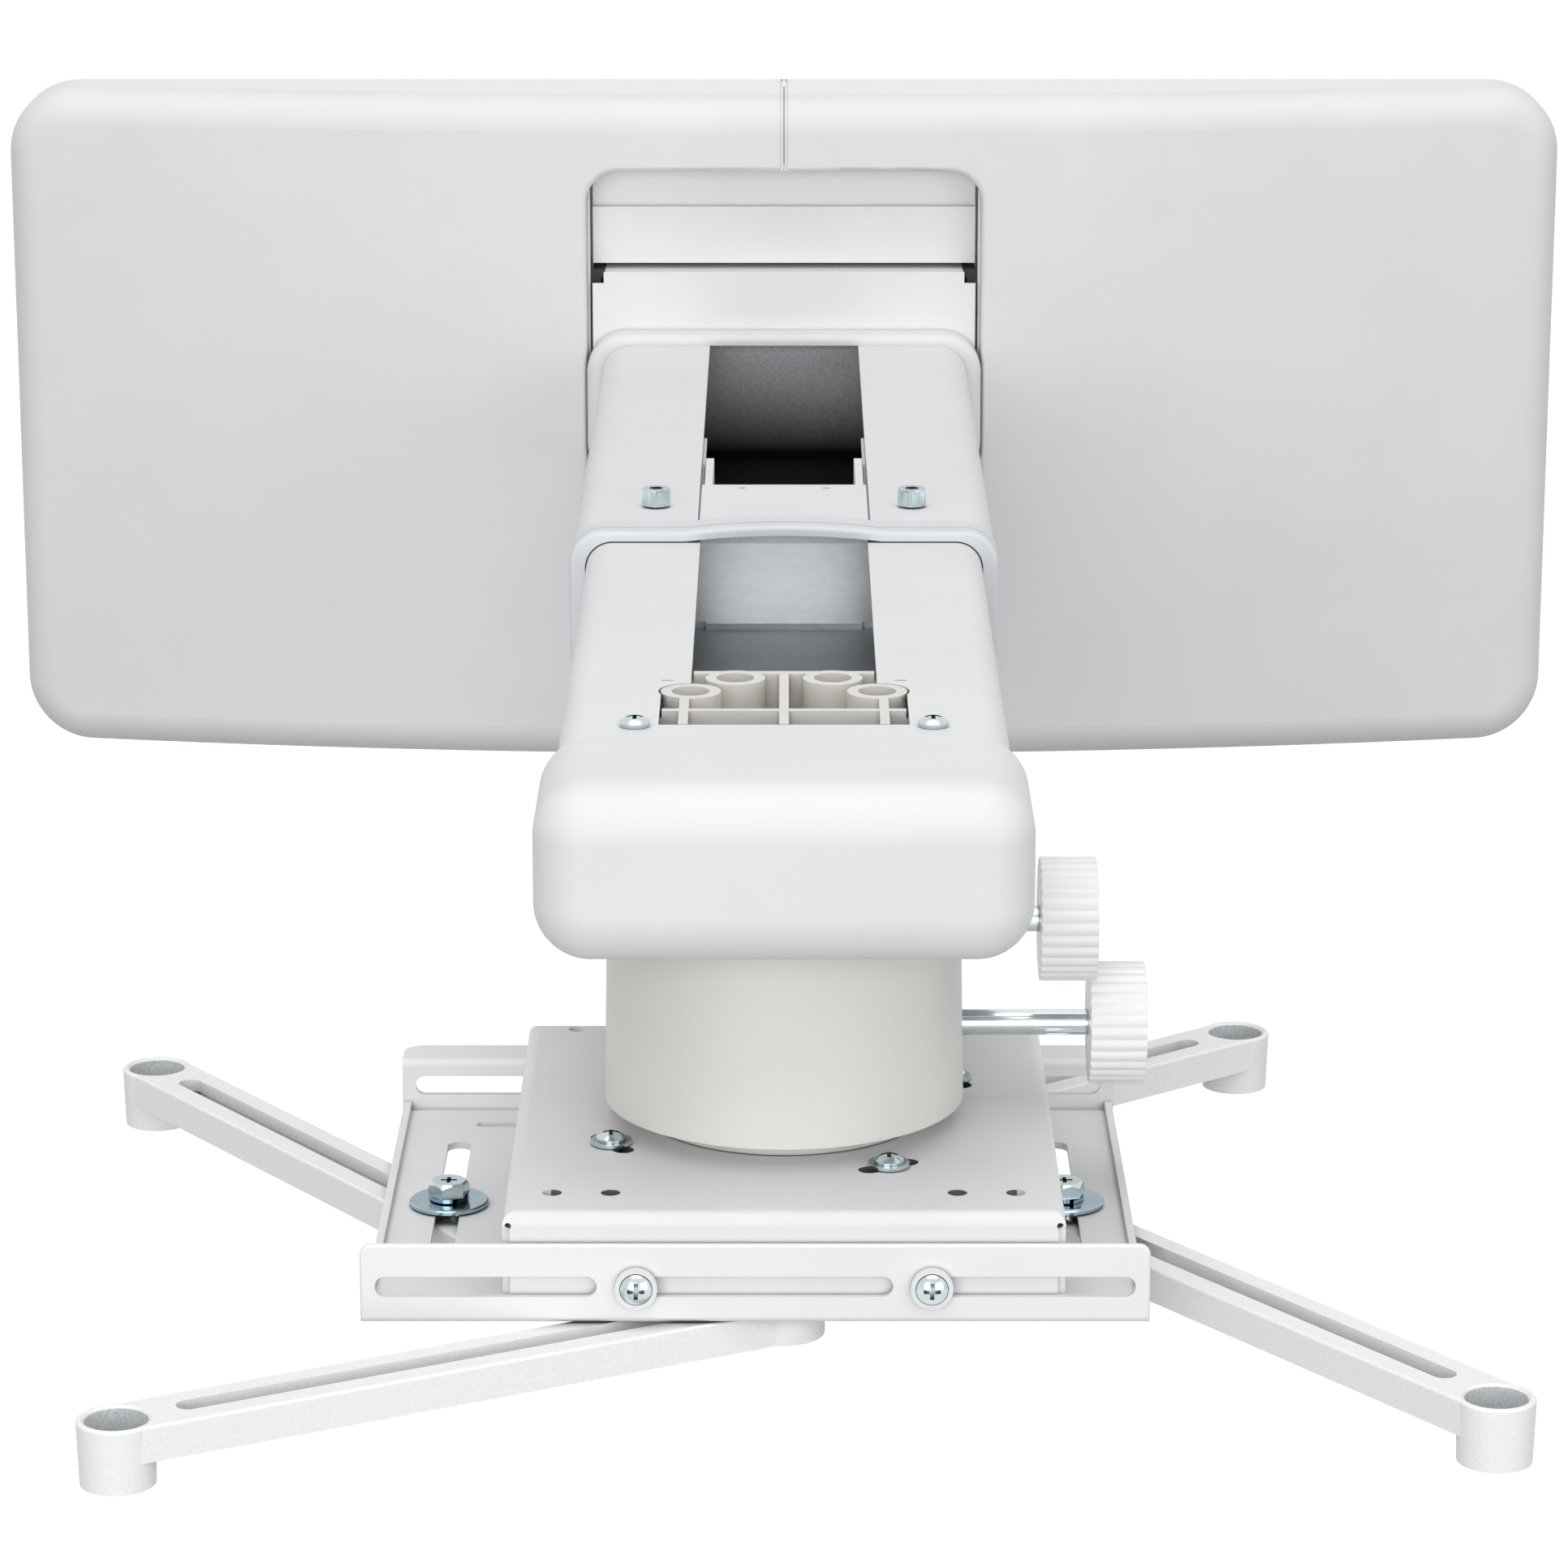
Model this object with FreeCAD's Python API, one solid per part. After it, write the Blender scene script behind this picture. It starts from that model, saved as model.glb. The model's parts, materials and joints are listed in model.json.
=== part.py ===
import FreeCAD, Part
import math
import os

# Projector wall mount: wall plate and two-part cover, telescoping folded-sheet arm,
# tilting drum head, swivel plate, sliding tray and four slotted cast legs.
# Frame: wall plane at Y = 0, room towards -Y, +Z up, +X to the right seen from the room.
# All sizes in millimetres.

V = FreeCAD.Vector
os.makedirs("parts", exist_ok=True)

# General clearances and sheet sizes
running_fit = 0.05          # radial clearance of a turning pin, rod or spigot
slide_gap = 0.4             # clearance between sheets that slide on each other
face_gap = 0.25             # clearance between flat faces of bodies that move
sheet = 2.5                 # sheet thickness of arms and swivel plate
cut_past = 1.0              # how far a cutter runs past the face it opens
near = 0.01                 # tolerance when edges are picked by place

# Wall plate, on the wall
wall_plate_width = 470.0
wall_plate_height = 196.0
wall_plate_thickness = 3.0
wall_plate_flange = 12.0
wall_hole_pitch_x = 406.4
wall_hole_pitch_z = 130.0
wall_hole_diameter = 9.0
wall_slot_length = 60.0
wall_slot_pitch_x = 260.0

# Cover in two halves
cover_width = 558.0
cover_height = 242.0
cover_depth_end = 24.0
cover_depth_middle = 51.0
cover_corner_radius = 24.0
cover_edge_radius = 12.0
cover_wall = 2.6
cover_seam = 0.3
cover_groove_half = 1.3      # shallow groove along the seam
cover_groove = 0.5
cover_tongue_half = 6.0     # strip behind the seam, on the left half
cover_tongue = 1.6
window_half_width = 70.5
window_top = 95.0
window_bottom = -32.0
window_corner_radius = 12.0
window_rim = 1.8            # rounding of the window's front edge
window_return = 14.0        # wall round the window, back from the cover's front

# Arm base on the wall plate
base_half_width = 68.5
base_depth = 44.0
base_sheet = 3.0
base_rise = 25.0            # above the arm's top
base_drop = 8.0             # below the arm's bottom
base_notch_width = 4.0
base_notch_height = 4.0
base_notch_depth = 5.0
apron_rise = 47.3           # top of the hook's upright apron above the arm's top
apron_reach = 36.0          # how far the apron comes out from the wall
apron_gap = 2.0             # gap between apron and arm base
hook_leaf = 10.0
collar_depth = 9.0
collar_width = 4.0          # above and below the arm
collar_rounding = 3.0

# Arm
arm_top = 33.0
outer_half_width = 65.0
outer_height = 46.0
outer_corner = 10.0
outer_length = 309.0
outer_slot_half = 26.5
inner_half_width = 60.25
inner_corner = 8.0
inner_slot_half = 25.5
inner_engaged = 150.0       # length of inner arm inside the outer arm at rest
inner_reach = 287.0         # length of inner arm in front of the outer arm at rest
cutout_half_width = 33.5
cutout_from_axis_front = 8.6
cutout_gap = 0.6            # between the cast block and the edge of the cut-out
slit_length = 3.6
slit_width = 0.9
slit_x = 32.0
slit_behind_bosses = 12.0

# Bridge across the outer arm's slot
bridge_from_front = 12.0
bridge_length = 51.0
bridge_ear_length = 46.0
bridge_ear_drop = 12.0
bridge_ear_root = 8.0        # length of an ear under the bridge plate
bridge_groove_width = 0.6
bridge_groove_depth = 1.2
bridge_corner = 1.6
bridge_hole_diameter = 2.6
bridge_hole_pitch = 26.6

# Trim ring at the outer arm's front
ring_wall = 0.5
ring_seat = 7.0             # the arm's sheet stops this far behind its front line
ring_front = 8.0
ring_spigot_height = 24.0
ring_arch_half = 30.0       # the ring's top is arched over the slot
ring_arch_rise = 1.8
ring_groove_width = 1.2
ring_groove_depth = 0.7
ring_rounding = 1.4

# Arm clamp screws, M5 socket head
clamp_screw_x = 39.7
clamp_screw_from_front = 30.5
clamp_head_diameter = 8.5
clamp_head_height = 5.3
clamp_head_raise = 0.6
clamp_thread_diameter = 5.0
clamp_socket_flats = 4.0
clamp_socket_depth = 2.5

# Glide pads and galvanised stiffener inside the arm
glide_length = 40.0
glide_height = 20.0
stiffener_half_width = 50.0
stiffener_sheet = 2.0
stiffener_height = 14.0
stiffener_behind_front = 35.5
stiffener_notch_x = 26.0
stiffener_notch = 3.0

# Head: cast block in the arm, gimbal and drum on one vertical axis
axis_from_arm_end = 67.0    # head axis behind the inner arm's front end
block_side_gap = 1.2
block_rear = 50.5
block_front = 48.0
block_wall = 3.0
block_floor = 4.0
block_rib = 2.6
block_rib_x = 27.0
block_cross_rib = 7.5       # cross rib behind the head axis
block_boss_outer = 16.5
block_boss_inner = 10.5
boss_rear_x = 13.4
boss_rear_y = 43.0
boss_side_x = 25.4
boss_side_y = 28.0
block_screw_x = 39.7
block_screw_ahead = 10.0
block_screw_boss = 9.0
recess_length = 4.4         # cross recess of pan, washer and hex heads
recess_width = 1.1
recess_depth = 1.6
pan_head_diameter = 8.2
pan_head_height = 3.0
pan_side_height = 1.2
pan_thread_diameter = 4.0
pan_screw_length = 10.0
stem_radius = 17.0
stem_below_gimbal = 12.0
arm_hole_clearance = 4.0

# Front cap
cap_wall = 4.0
cap_top_wall = 1.2
cap_drop = 6.5              # cap's underside below the inner arm
cap_drum_gap = 4.0          # room round the drum, cut from the cap's underside
cap_overlap = 43.0          # length of the cap over the inner arm
cap_nose = 14.5             # cap's front ahead of the inner arm's end
cap_corner = 15.0
cap_edge = 14.0
cap_rear_rounding = 2.0
cap_hollow_inset = 8.0      # hollow of the nose, in from the inner arm's outline

# Gimbal
gimbal_below_arm_top = 80.0
gimbal_ring_outer = 30.0
gimbal_ring_inner = 20.0
gimbal_ring_height = 16.0
gimbal_pin_radius = 4.0
gimbal_side_gap = 1.0

# Drum
drum_top_below_arm = 3.5
drum_bottom_radius = 48.8
drum_draft_degrees = 1.0
drum_wall = 3.5
drum_edge_radius = 3.0
drum_height = 59.0
drum_top_hole = 27.0
drum_boss_radius = 8.0
drum_base_floor = 4.0
hub_radius = 38.0
hub_height = 5.2
spigot_radius = 30.0

# Adjusting knobs on the drum's right side
knob_diameter = 33.6
knob_width = 15.3
knob_flutes = 30
knob_flute_depth = 0.6
knob_edge = 0.5
rod_diameter = 7.0
rod_collar_diameter = 10.0
rod_collar_width = 2.0
rod_boss_radius = 6.0
rod_boss_inner_x = 38.0
roll_rod_ahead = 2.0
roll_rod_above_gimbal = 21.3
roll_knob_x = 68.9
pitch_rod_behind = 12.0
pitch_rod_below_gimbal = 12.4
pitch_knob_x = 83.3

# Swivel plate and disc
plate_width = 146.0
plate_flange = 24.0         # front and rear edges
plate_side_flange = 8.0
plate_bend = 3.5
plate_relief = 2.0
plate_corner_hole = 1.8      # at the ends of the front bend
plate_corner_inset = 1.5
plate_hole_diameter = 5.2
plate_hole_rows = (45.3, 60.6)
plate_hole_from_front = 16.5
plate_rear_hole_x = 58.9
plate_rear_hole_from_rear = 6.0
swivel_slot_radius = 54.0
swivel_slot_start_degrees = 31.0
swivel_slot_count = 4
swivel_travel_degrees = 6.0
swivel_screw_diameter = 5.0
swivel_slot_clearance = 0.4
swivel_head_diameter = 8.0
swivel_side_height = 0.8
swivel_head_height = 2.4
swivel_washer_diameter = 11.0
swivel_washer_thickness = 1.0
disc_radius = 62.0
disc_thickness = 3.0

# Tray
tray_width = 204.7
tray_sheet = 2.0
tray_bend = 1.8
tray_offset = -7.5          # tray centre from the swivel plate's centre, at rest
tray_flange = 21.5
tray_flange_corner = 3.0
tray_flange_edge = 0.8
tray_rear_flange = 17.0
tray_rear_lip = 12.0        # lip folded back from the rear flange
tray_rear_corner = 6.0
tray_side_lip = 4.5
tray_side_inset = 0.5
tray_below_plate = 29.2     # tray bottom below the swivel plate's top
tray_rear_gap = 3.0         # filled by spacers at the rear screws
tray_slot_height = 5.6
tray_slot_above_bottom = 10.0
tray_rear_slot_above_bottom = 9.3
tray_slot_outer = 57.6      # length of the two outer slots
tray_slot_middle = 71.6
tray_slot_bridge = 5.2
tray_screw_x = 38.3
tray_ring_diameter = 11.0
tray_ring_thickness = 2.0
tray_ring_sunk = 1.0        # depth of the recess for the screw head
tray_ring_clearance = 0.2
plate_to_axis_front = 83.9  # swivel plate's front face ahead of the swivel axis
plate_to_axis_rear = 79.5

# Leg bolts, M6
leg_bolt_diameter = 6.0
leg_slot_clearance = 0.3
leg_washer_diameter = 21.5
leg_washer_thickness = 1.4
spring_washer_diameter = 10.6
spring_washer_thickness = 1.5
hex_flats = 10.0
hex_turn_degrees = 15.0     # how hex heads and sockets happen to stand
hex_bevel_radius = 4.5      # top of the bevelled hex head
hex_height = 4.0
nut_height = 5.0
bolt_end = 0.5
nut_clearance = 0.3
side_slot_x = 84.3
side_slot_length = 109.0
cross_slot_length = 120.0
short_slot_length = 19.0    # short cross slots near the tray's rear corners
short_slot_width = 4.0
short_slot_x = 71.0
short_slot_inset = 15.5

# Cast legs
leg_length = 186.0          # foot centre to inner eye centre
leg_width = 19.0
leg_height = 9.5
leg_web = 3.5               # above the channel for the nut
leg_slot_from_foot = 16.0
leg_slot_from_eye = 11.0
leg_eye_radius = 11.5
leg_edge = 0.8
foot_radius = 10.1
foot_height = 17.0
foot_bore = 8.0
foot_floor = 3.0
foot_screw_hole = 2.75
foot_draft_degrees = 1.8
foot_rim = 0.8

# Feet and clamping bolts of the legs, from the tray's centre
foot_front_left = (-158.2, -151.0)
foot_front_right = (186.1, -136.2)
foot_rear_left = (-178.4, 130.4)
foot_rear_right = (144.0, 165.2)
side_bolt_y = 1.25          # bolts in the two lengthwise slots
front_cross_bolt_x = -6.5   # bolts in the two cross slots
rear_cross_bolt_x = 15.5
front_bolt_inset = 13.4     # from the tray's front and rear faces
rear_bolt_inset = 22.9

# Places worked out from the sizes
outer_front_y = -base_depth - outer_length
outer_bottom = arm_top - outer_height
inner_top = arm_top - sheet - slide_gap
inner_bottom = outer_bottom + sheet + slide_gap
inner_rear_y = outer_front_y + inner_engaged
inner_front_y = outer_front_y - inner_reach
axis_y = inner_front_y + axis_from_arm_end
gimbal_z = arm_top - gimbal_below_arm_top
drum_top = outer_bottom - drum_top_below_arm
drum_bottom = drum_top - drum_height
plate_top = drum_bottom - hub_height - face_gap
plate_front_y = axis_y - plate_to_axis_front
plate_rear_y = axis_y + plate_to_axis_rear
tray_bottom = plate_top - tray_below_plate
tray_floor_top = tray_bottom + tray_sheet
tray_front_y = plate_front_y - slide_gap - tray_sheet
tray_rear_y = plate_rear_y + tray_rear_gap + tray_sheet
tray_center_y = (tray_front_y + tray_rear_y) / 2
tray_slot_z = tray_bottom + tray_slot_above_bottom
tray_rear_slot_z = tray_bottom + tray_rear_slot_above_bottom
leg_top = tray_bottom - face_gap
leg_bottom = leg_top - leg_height
nut_top = leg_top - leg_web - face_gap
nut_bottom = nut_top - nut_height
leg_places = {
    "front_left": (foot_front_left, (front_cross_bolt_x, tray_front_y + front_bolt_inset - tray_center_y)),
    "front_right": (foot_front_right, (side_slot_x, side_bolt_y)),
    "rear_left": (foot_rear_left, (-side_slot_x, side_bolt_y)),
    "rear_right": (foot_rear_right, (rear_cross_bolt_x, tray_rear_y - rear_bolt_inset - tray_center_y)),
}
x_axis = V(1, 0, 0)
y_axis = V(0, 1, 0)
z_axis = V(0, 0, 1)


def box(x0, x1, y0, y1, z0, z1):
    """Block between two corners."""
    return Part.makeBox(x1 - x0, y1 - y0, z1 - z0, V(x0, y0, z0))


def drop(radius, x, y, z0, z1):
    """Upright cylinder."""
    return Part.makeCylinder(radius, z1 - z0, V(x, y, z0), z_axis)


def rounded_wire(half_width, z0, z1, radius, y):
    """Rounded rectangle in the plane of the wall, centred on X = 0."""
    w = half_width
    r = radius
    k = r * (1 - math.sqrt(0.5))
    edges = [
        Part.LineSegment(V(-w + r, y, z0), V(w - r, y, z0)).toShape(),
        Part.Arc(V(w - r, y, z0), V(w - k, y, z0 + k), V(w, y, z0 + r)).toShape(),
        Part.LineSegment(V(w, y, z0 + r), V(w, y, z1 - r)).toShape(),
        Part.Arc(V(w, y, z1 - r), V(w - k, y, z1 - k), V(w - r, y, z1)).toShape(),
        Part.LineSegment(V(w - r, y, z1), V(-w + r, y, z1)).toShape(),
        Part.Arc(V(-w + r, y, z1), V(-w + k, y, z1 - k), V(-w, y, z1 - r)).toShape(),
        Part.LineSegment(V(-w, y, z1 - r), V(-w, y, z0 + r)).toShape(),
        Part.Arc(V(-w, y, z0 + r), V(-w + k, y, z0 + k), V(-w + r, y, z0)).toShape(),
    ]
    return Part.Wire(edges)


def tube_section(half_width, z0, z1, radius, y_rear, y_front):
    """Rounded rectangle carried from the rear to the front along Y."""
    face = Part.Face(rounded_wire(half_width, z0, z1, radius, y_rear))
    return face.extrude(V(0, y_front - y_rear, 0))


def slot_prism(length, width, center, along, through, depth):
    """Round-ended slot, length over all, cut along one direction and through another."""
    straight = (length - width) / 2
    radius = width / 2
    side = through.cross(along)
    a = center - along * straight
    b = center + along * straight
    edges = [
        Part.LineSegment(a - side * radius, b - side * radius).toShape(),
        Part.Arc(b - side * radius, b + along * radius, b + side * radius).toShape(),
        Part.LineSegment(b + side * radius, a + side * radius).toShape(),
        Part.Arc(a + side * radius, a - along * radius, a - side * radius).toShape(),
    ]
    prism = Part.Face(Part.Wire(edges)).extrude(through * depth)
    prism.translate(through * (-depth / 2))
    return prism


def arc_slot(radius, width, mid_degrees, half_degrees, z0, z1):
    """Round-ended slot along an arc about the swivel axis."""
    def at(r, degrees):
        angle = math.radians(degrees)
        return V(r * math.cos(angle), axis_y + r * math.sin(angle), z0)

    a = mid_degrees - half_degrees
    b = mid_degrees + half_degrees
    end = math.degrees(width / 2 / radius)
    inner = radius - width / 2
    outer = radius + width / 2
    edges = [
        Part.Arc(at(outer, a), at(outer, mid_degrees), at(outer, b)).toShape(),
        Part.Arc(at(outer, b), at(radius, b + end), at(inner, b)).toShape(),
        Part.Arc(at(inner, b), at(inner, mid_degrees), at(inner, a)).toShape(),
        Part.Arc(at(inner, a), at(radius, a - end), at(outer, a)).toShape(),
    ]
    return Part.Face(Part.Wire(edges)).extrude(V(0, 0, z1 - z0))


def cross_recess(x, y, top):
    """Cross-shaped cutter from the top of a screw head down."""
    a = recess_length / 2
    b = recess_width / 2
    low = top - recess_depth
    high = top + recess_depth
    return box(x - a, x + a, y - b, y + b, low, high).fuse(box(x - b, x + b, y - a, y + a, low, high))


def hexagon(flats, center, z0, z1, turn=math.radians(hex_turn_degrees)):
    """Hexagonal prism with a given width across flats, one corner at an angle from X."""
    corner = flats / math.sqrt(3)
    points = []
    for i in range(7):
        angle = math.radians(60 * i) + turn
        points.append(V(center.x + corner * math.cos(angle), center.y + corner * math.sin(angle), z0))
    return Part.Face(Part.makePolygon(points)).extrude(V(0, 0, z1 - z0))


def extruded(points, direction):
    """Closed outline carried along a direction."""
    return Part.Face(Part.makePolygon(points + points[:1])).extrude(direction)


def domed_head(radius, side, height):
    """Screw head on Z = 0: a short side and a round dome over it."""
    rise = height - side
    dome_radius = (radius * radius + rise * rise) / (2 * rise)
    halfway_rise = math.sqrt(dome_radius * dome_radius - radius * radius / 4)
    halfway = V(radius / 2, 0, height - dome_radius + halfway_rise)
    profile = [
        Part.LineSegment(V(0, 0, 0), V(radius, 0, 0)).toShape(),
        Part.LineSegment(V(radius, 0, 0), V(radius, 0, side)).toShape(),
        Part.Arc(V(radius, 0, side), halfway, V(0, 0, height)).toShape(),
        Part.LineSegment(V(0, 0, height), V(0, 0, 0)).toShape(),
    ]
    return Part.Face(Part.Wire(profile)).revolve(V(0, 0, 0), z_axis, 360)


def edges_where(shape, test):
    """Edges whose middle point passes a test."""
    found = []
    for edge in shape.Edges:
        middle = edge.valueAt((edge.FirstParameter + edge.LastParameter) / 2)
        if test(middle, edge):
            found.append(edge)
    return found


def cover_body(inset):
    """Bowed cover solid, smaller all round by an inset, with soft front edges."""
    half = cover_width / 2 - inset
    depth_end = cover_depth_end - inset
    depth_middle = cover_depth_middle - inset
    z0 = -cover_height / 2 + inset
    z1 = cover_height / 2 - inset
    corners = [V(-half, -depth_end, z0), V(-half, 0, z0), V(half, 0, z0), V(half, -depth_end, z0)]
    back = Part.makePolygon(corners)
    front = Part.Arc(V(half, -depth_end, z0), V(0, -depth_middle, z0), V(-half, -depth_end, z0)).toShape()
    plan = Part.Face(Part.Wire(back.Edges + [front])).extrude(V(0, 0, z1 - z0))
    outline = tube_section(half, z0, z1, cover_corner_radius - inset, 0, -2 * cover_depth_middle)
    body = plan.common(outline)
    front_face = max(body.Faces, key=lambda face: -face.CenterOfMass.y)
    return body.makeFillet(cover_edge_radius - inset, front_face.Edges)


def cover_halves():
    """The two halves of the wall cover: a window with a return wall, and a tongue behind the seam."""
    whole = cover_body(0)
    inside = cover_body(cover_wall)
    deep = -2 * cover_depth_middle
    window = tube_section(window_half_width, window_bottom, window_top, window_corner_radius, 0, deep)
    g = cover_wall
    frame = tube_section(window_half_width + g, window_bottom - g, window_top + g, window_corner_radius + g,
                         -cover_depth_middle + window_return, deep)
    shell = whole.cut(inside).fuse(frame.common(whole)).cut(window).removeSplitter()
    rim = edges_where(shell, on_window_rim)
    shell = shell.makeFillet(window_rim, rim)
    reach = cover_width
    skin = whole.cut(cover_body(cover_groove))
    groove = skin.common(box(-cover_groove_half, cover_groove_half, -reach, -near, -reach, reach))
    shell = shell.cut(groove)
    gap = cover_seam / 2
    left = shell.common(box(-reach, -gap, -reach, reach, -reach, reach))
    right = shell.common(box(gap, reach, -reach, reach, -reach, reach))
    strip = inside.cut(cover_body(cover_wall + cover_tongue))
    strip = strip.common(box(-cover_tongue_half, cover_tongue_half, -reach, reach, -reach, reach))
    strip = strip.cut([frame, window, right])
    left = left.fuse(strip).removeSplitter()
    return left, right


def on_window_rim(point, edge):
    """Whether an edge runs round the window on the cover's front."""
    across = abs(point.x) < window_half_width + near
    upward = window_bottom - near < point.z < window_top + near
    return across and upward and edge.BoundBox.YMax < -cover_depth_middle + window_return - cover_wall


def wall_plate():
    """Flat steel plate with stiffening flanges, bolt holes and levelling slots."""
    w = wall_plate_width / 2
    h = wall_plate_height / 2
    t = wall_plate_thickness
    plate = box(-w, w, -t, 0, -h, h)
    for z0 in (-h, h - t):
        plate = plate.fuse(box(-w, w, -wall_plate_flange, -t, z0, z0 + t))
    cuts = []
    for sx in (-1, 1):
        for sz in (-1, 1):
            place = V(sx * wall_hole_pitch_x / 2, -2 * t, sz * wall_hole_pitch_z / 2)
            cuts.append(Part.makeCylinder(wall_hole_diameter / 2, 3 * t, place, y_axis))
            middle = V(sx * wall_slot_pitch_x / 2, -t / 2, sz * wall_hole_pitch_z / 2)
            cuts.append(slot_prism(wall_slot_length, wall_hole_diameter, middle, x_axis, y_axis, 3 * t))
    return plate.cut(cuts).removeSplitter()


def hook_bracket():
    """Sheet hook on the wall plate: a leaf, a shelf over the arm base and an upright apron on its edge."""
    y0 = -wall_plate_thickness
    t = sheet
    top = arm_top + apron_rise
    low = arm_top + base_rise + apron_gap
    leaf = low - hook_leaf + apron_gap + base_sheet
    points = [
        V(-base_half_width, y0, leaf),
        V(-base_half_width, y0, low + t),
        V(-base_half_width, -apron_reach + t, low + t),
        V(-base_half_width, -apron_reach + t, top),
        V(-base_half_width, -apron_reach, top),
        V(-base_half_width, -apron_reach, low),
        V(-base_half_width, y0 - t, low),
        V(-base_half_width, y0 - t, leaf),
    ]
    return extruded(points, V(2 * base_half_width, 0, 0))


def arm_base():
    """Folded sheet box that carries the arm, open at the wall, with relief notches at its top."""
    w = base_half_width
    t = base_sheet
    z0 = outer_bottom - base_drop
    z1 = arm_top + base_rise
    rear = -wall_plate_thickness
    hook_leaf_y = rear - sheet - face_gap
    shell = box(-w, w, -base_depth, rear, z0, z1)
    shell = shell.cut(box(-w + t, w - t, -base_depth + t, 0, z0 + t, z1 - t))
    hook_bottom = arm_top + base_rise + apron_gap - hook_leaf
    shell = shell.cut(box(-w, w, hook_leaf_y, 0, hook_bottom - face_gap, z1 + t))
    for sx in (-1, 1):
        x0 = min(sx * w, sx * (w - base_notch_width))
        notch = box(x0, x0 + base_notch_width, -2 * base_depth, -base_depth + base_notch_depth,
                    z1 - base_notch_height, z1 + t)
        shell = shell.cut(notch)
    return shell


def base_collar():
    """Soft rounded collar round the arm where it leaves the arm base, as wide as the cover's window."""
    c = collar_width
    y1 = -base_depth - collar_depth
    body = tube_section(window_half_width, outer_bottom - c, arm_top + c, outer_corner + c, -base_depth, y1)
    front = edges_where(body, lambda p, e: abs(p.y - y1) < near)
    body = body.makeFillet(collar_rounding, front)
    bore = tube_section(outer_half_width, outer_bottom, arm_top, outer_corner, 0, 2 * y1)
    return body.cut(bore)


def outer_arm():
    """Folded channel, open along the middle of its top."""
    w = outer_half_width
    arm = tube_section(w, outer_bottom, arm_top, outer_corner, -base_depth, outer_front_y + ring_seat)
    inside = tube_section(w - sheet, outer_bottom + sheet, arm_top - sheet, outer_corner - sheet,
                          0, 2 * outer_front_y)
    s = outer_slot_half
    slot = box(-s, s, 2 * outer_front_y, 0, arm_top - 2 * sheet, arm_top + sheet)
    holes = []
    for x in (-clamp_screw_x, clamp_screw_x):
        y = outer_front_y + clamp_screw_from_front
        holes.append(drop(clamp_thread_diameter / 2, x, y, arm_top - 2 * sheet, arm_top + sheet))
    return arm.cut([inside, slot] + holes)


def slot_bridge():
    """Plate that closes the outer arm's slot near the front, with two ears folded down behind it."""
    s = outer_slot_half
    y0 = outer_front_y + bridge_from_front
    y1 = y0 + bridge_length
    tip_y = y1 + bridge_ear_length
    plate = box(-s, s, y0, y1, arm_top - sheet, arm_top)
    corners = edges_where(plate, lambda p, e: abs(p.y - y1) < near and upright(e))
    plate = plate.makeFillet(bridge_corner, corners)
    inner = inner_slot_half - slide_gap
    cuts = []
    for sx in (-1, 1):
        x0 = min(sx * inner, sx * (inner - sheet))
        ear = box(x0, x0 + sheet, y1 - bridge_ear_root, tip_y, arm_top - bridge_ear_drop, arm_top)
        tip = edges_where(ear, lambda p, e: abs(p.y - tip_y) < near and abs(p.z - arm_top) < near)
        plate = plate.fuse(ear.makeFillet(bridge_ear_drop / 2, tip))
        x0 = min(sx * s, sx * (s - bridge_groove_width))
        cuts.append(box(x0, x0 + bridge_groove_width, y0, y1, arm_top - bridge_groove_depth, arm_top))
        x = sx * bridge_hole_pitch / 2
        cuts.append(drop(bridge_hole_diameter / 2, x, y1 - 2 * sheet, arm_top - 2 * sheet, arm_top + sheet))
    return plate.cut(cuts).removeSplitter()


def arched_section(half_width, z0, z1, radius, y_rear, y_front):
    """Rounded rectangle with a low arch on its top, carried along Y."""
    a = ring_arch_half
    chord = Part.LineSegment(V(-a, y_rear, z1), V(a, y_rear, z1)).toShape()
    arc = Part.Arc(V(a, y_rear, z1), V(0, y_rear, z1 + ring_arch_rise), V(-a, y_rear, z1)).toShape()
    arch = Part.Face(Part.Wire([chord, arc])).extrude(V(0, y_front - y_rear, 0))
    return tube_section(half_width, z0, z1, radius, y_rear, y_front).fuse(arch).removeSplitter()


def trim_ring():
    """Moulded ring on the outer arm's front edge, arched over the slot, with spigots inside the arm."""
    w = outer_half_width
    c = ring_wall
    rear = outer_front_y + ring_seat
    front = outer_front_y - ring_front
    body = arched_section(w + c, outer_bottom - c, arm_top + c, outer_corner + c, rear, front)
    edge = edges_where(body, lambda p, e: abs(p.y - front) < near)
    body = body.makeFillet(ring_rounding, edge)
    bore = inner_half_width + slide_gap
    mouth = arched_section(bore, inner_bottom - slide_gap, inner_top + slide_gap, inner_corner + slide_gap,
                           rear, 2 * front)
    g = ring_groove_depth
    groove_y = outer_front_y - ring_groove_width
    band = arched_section(w + 2 * c + g, outer_bottom - 2 * c - g, arm_top + 2 * c + g, outer_corner + c + g,
                          groove_y, groove_y - ring_groove_width)
    keep = arched_section(w + c - g, outer_bottom - c + g, arm_top + c - g, outer_corner + c - g,
                          groove_y, groove_y - ring_groove_width)
    body = body.cut([mouth, band.cut(keep)])
    middle = (arm_top + outer_bottom) / 2
    h = ring_spigot_height / 2
    for sx in (-1, 1):
        x0 = min(sx * bore, sx * (w - sheet))
        x1 = x0 + w - sheet - bore
        body = body.fuse(box(x0, x1, rear - ring_seat, rear + ring_seat, middle - h, middle + h))
    return body.removeSplitter()


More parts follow.
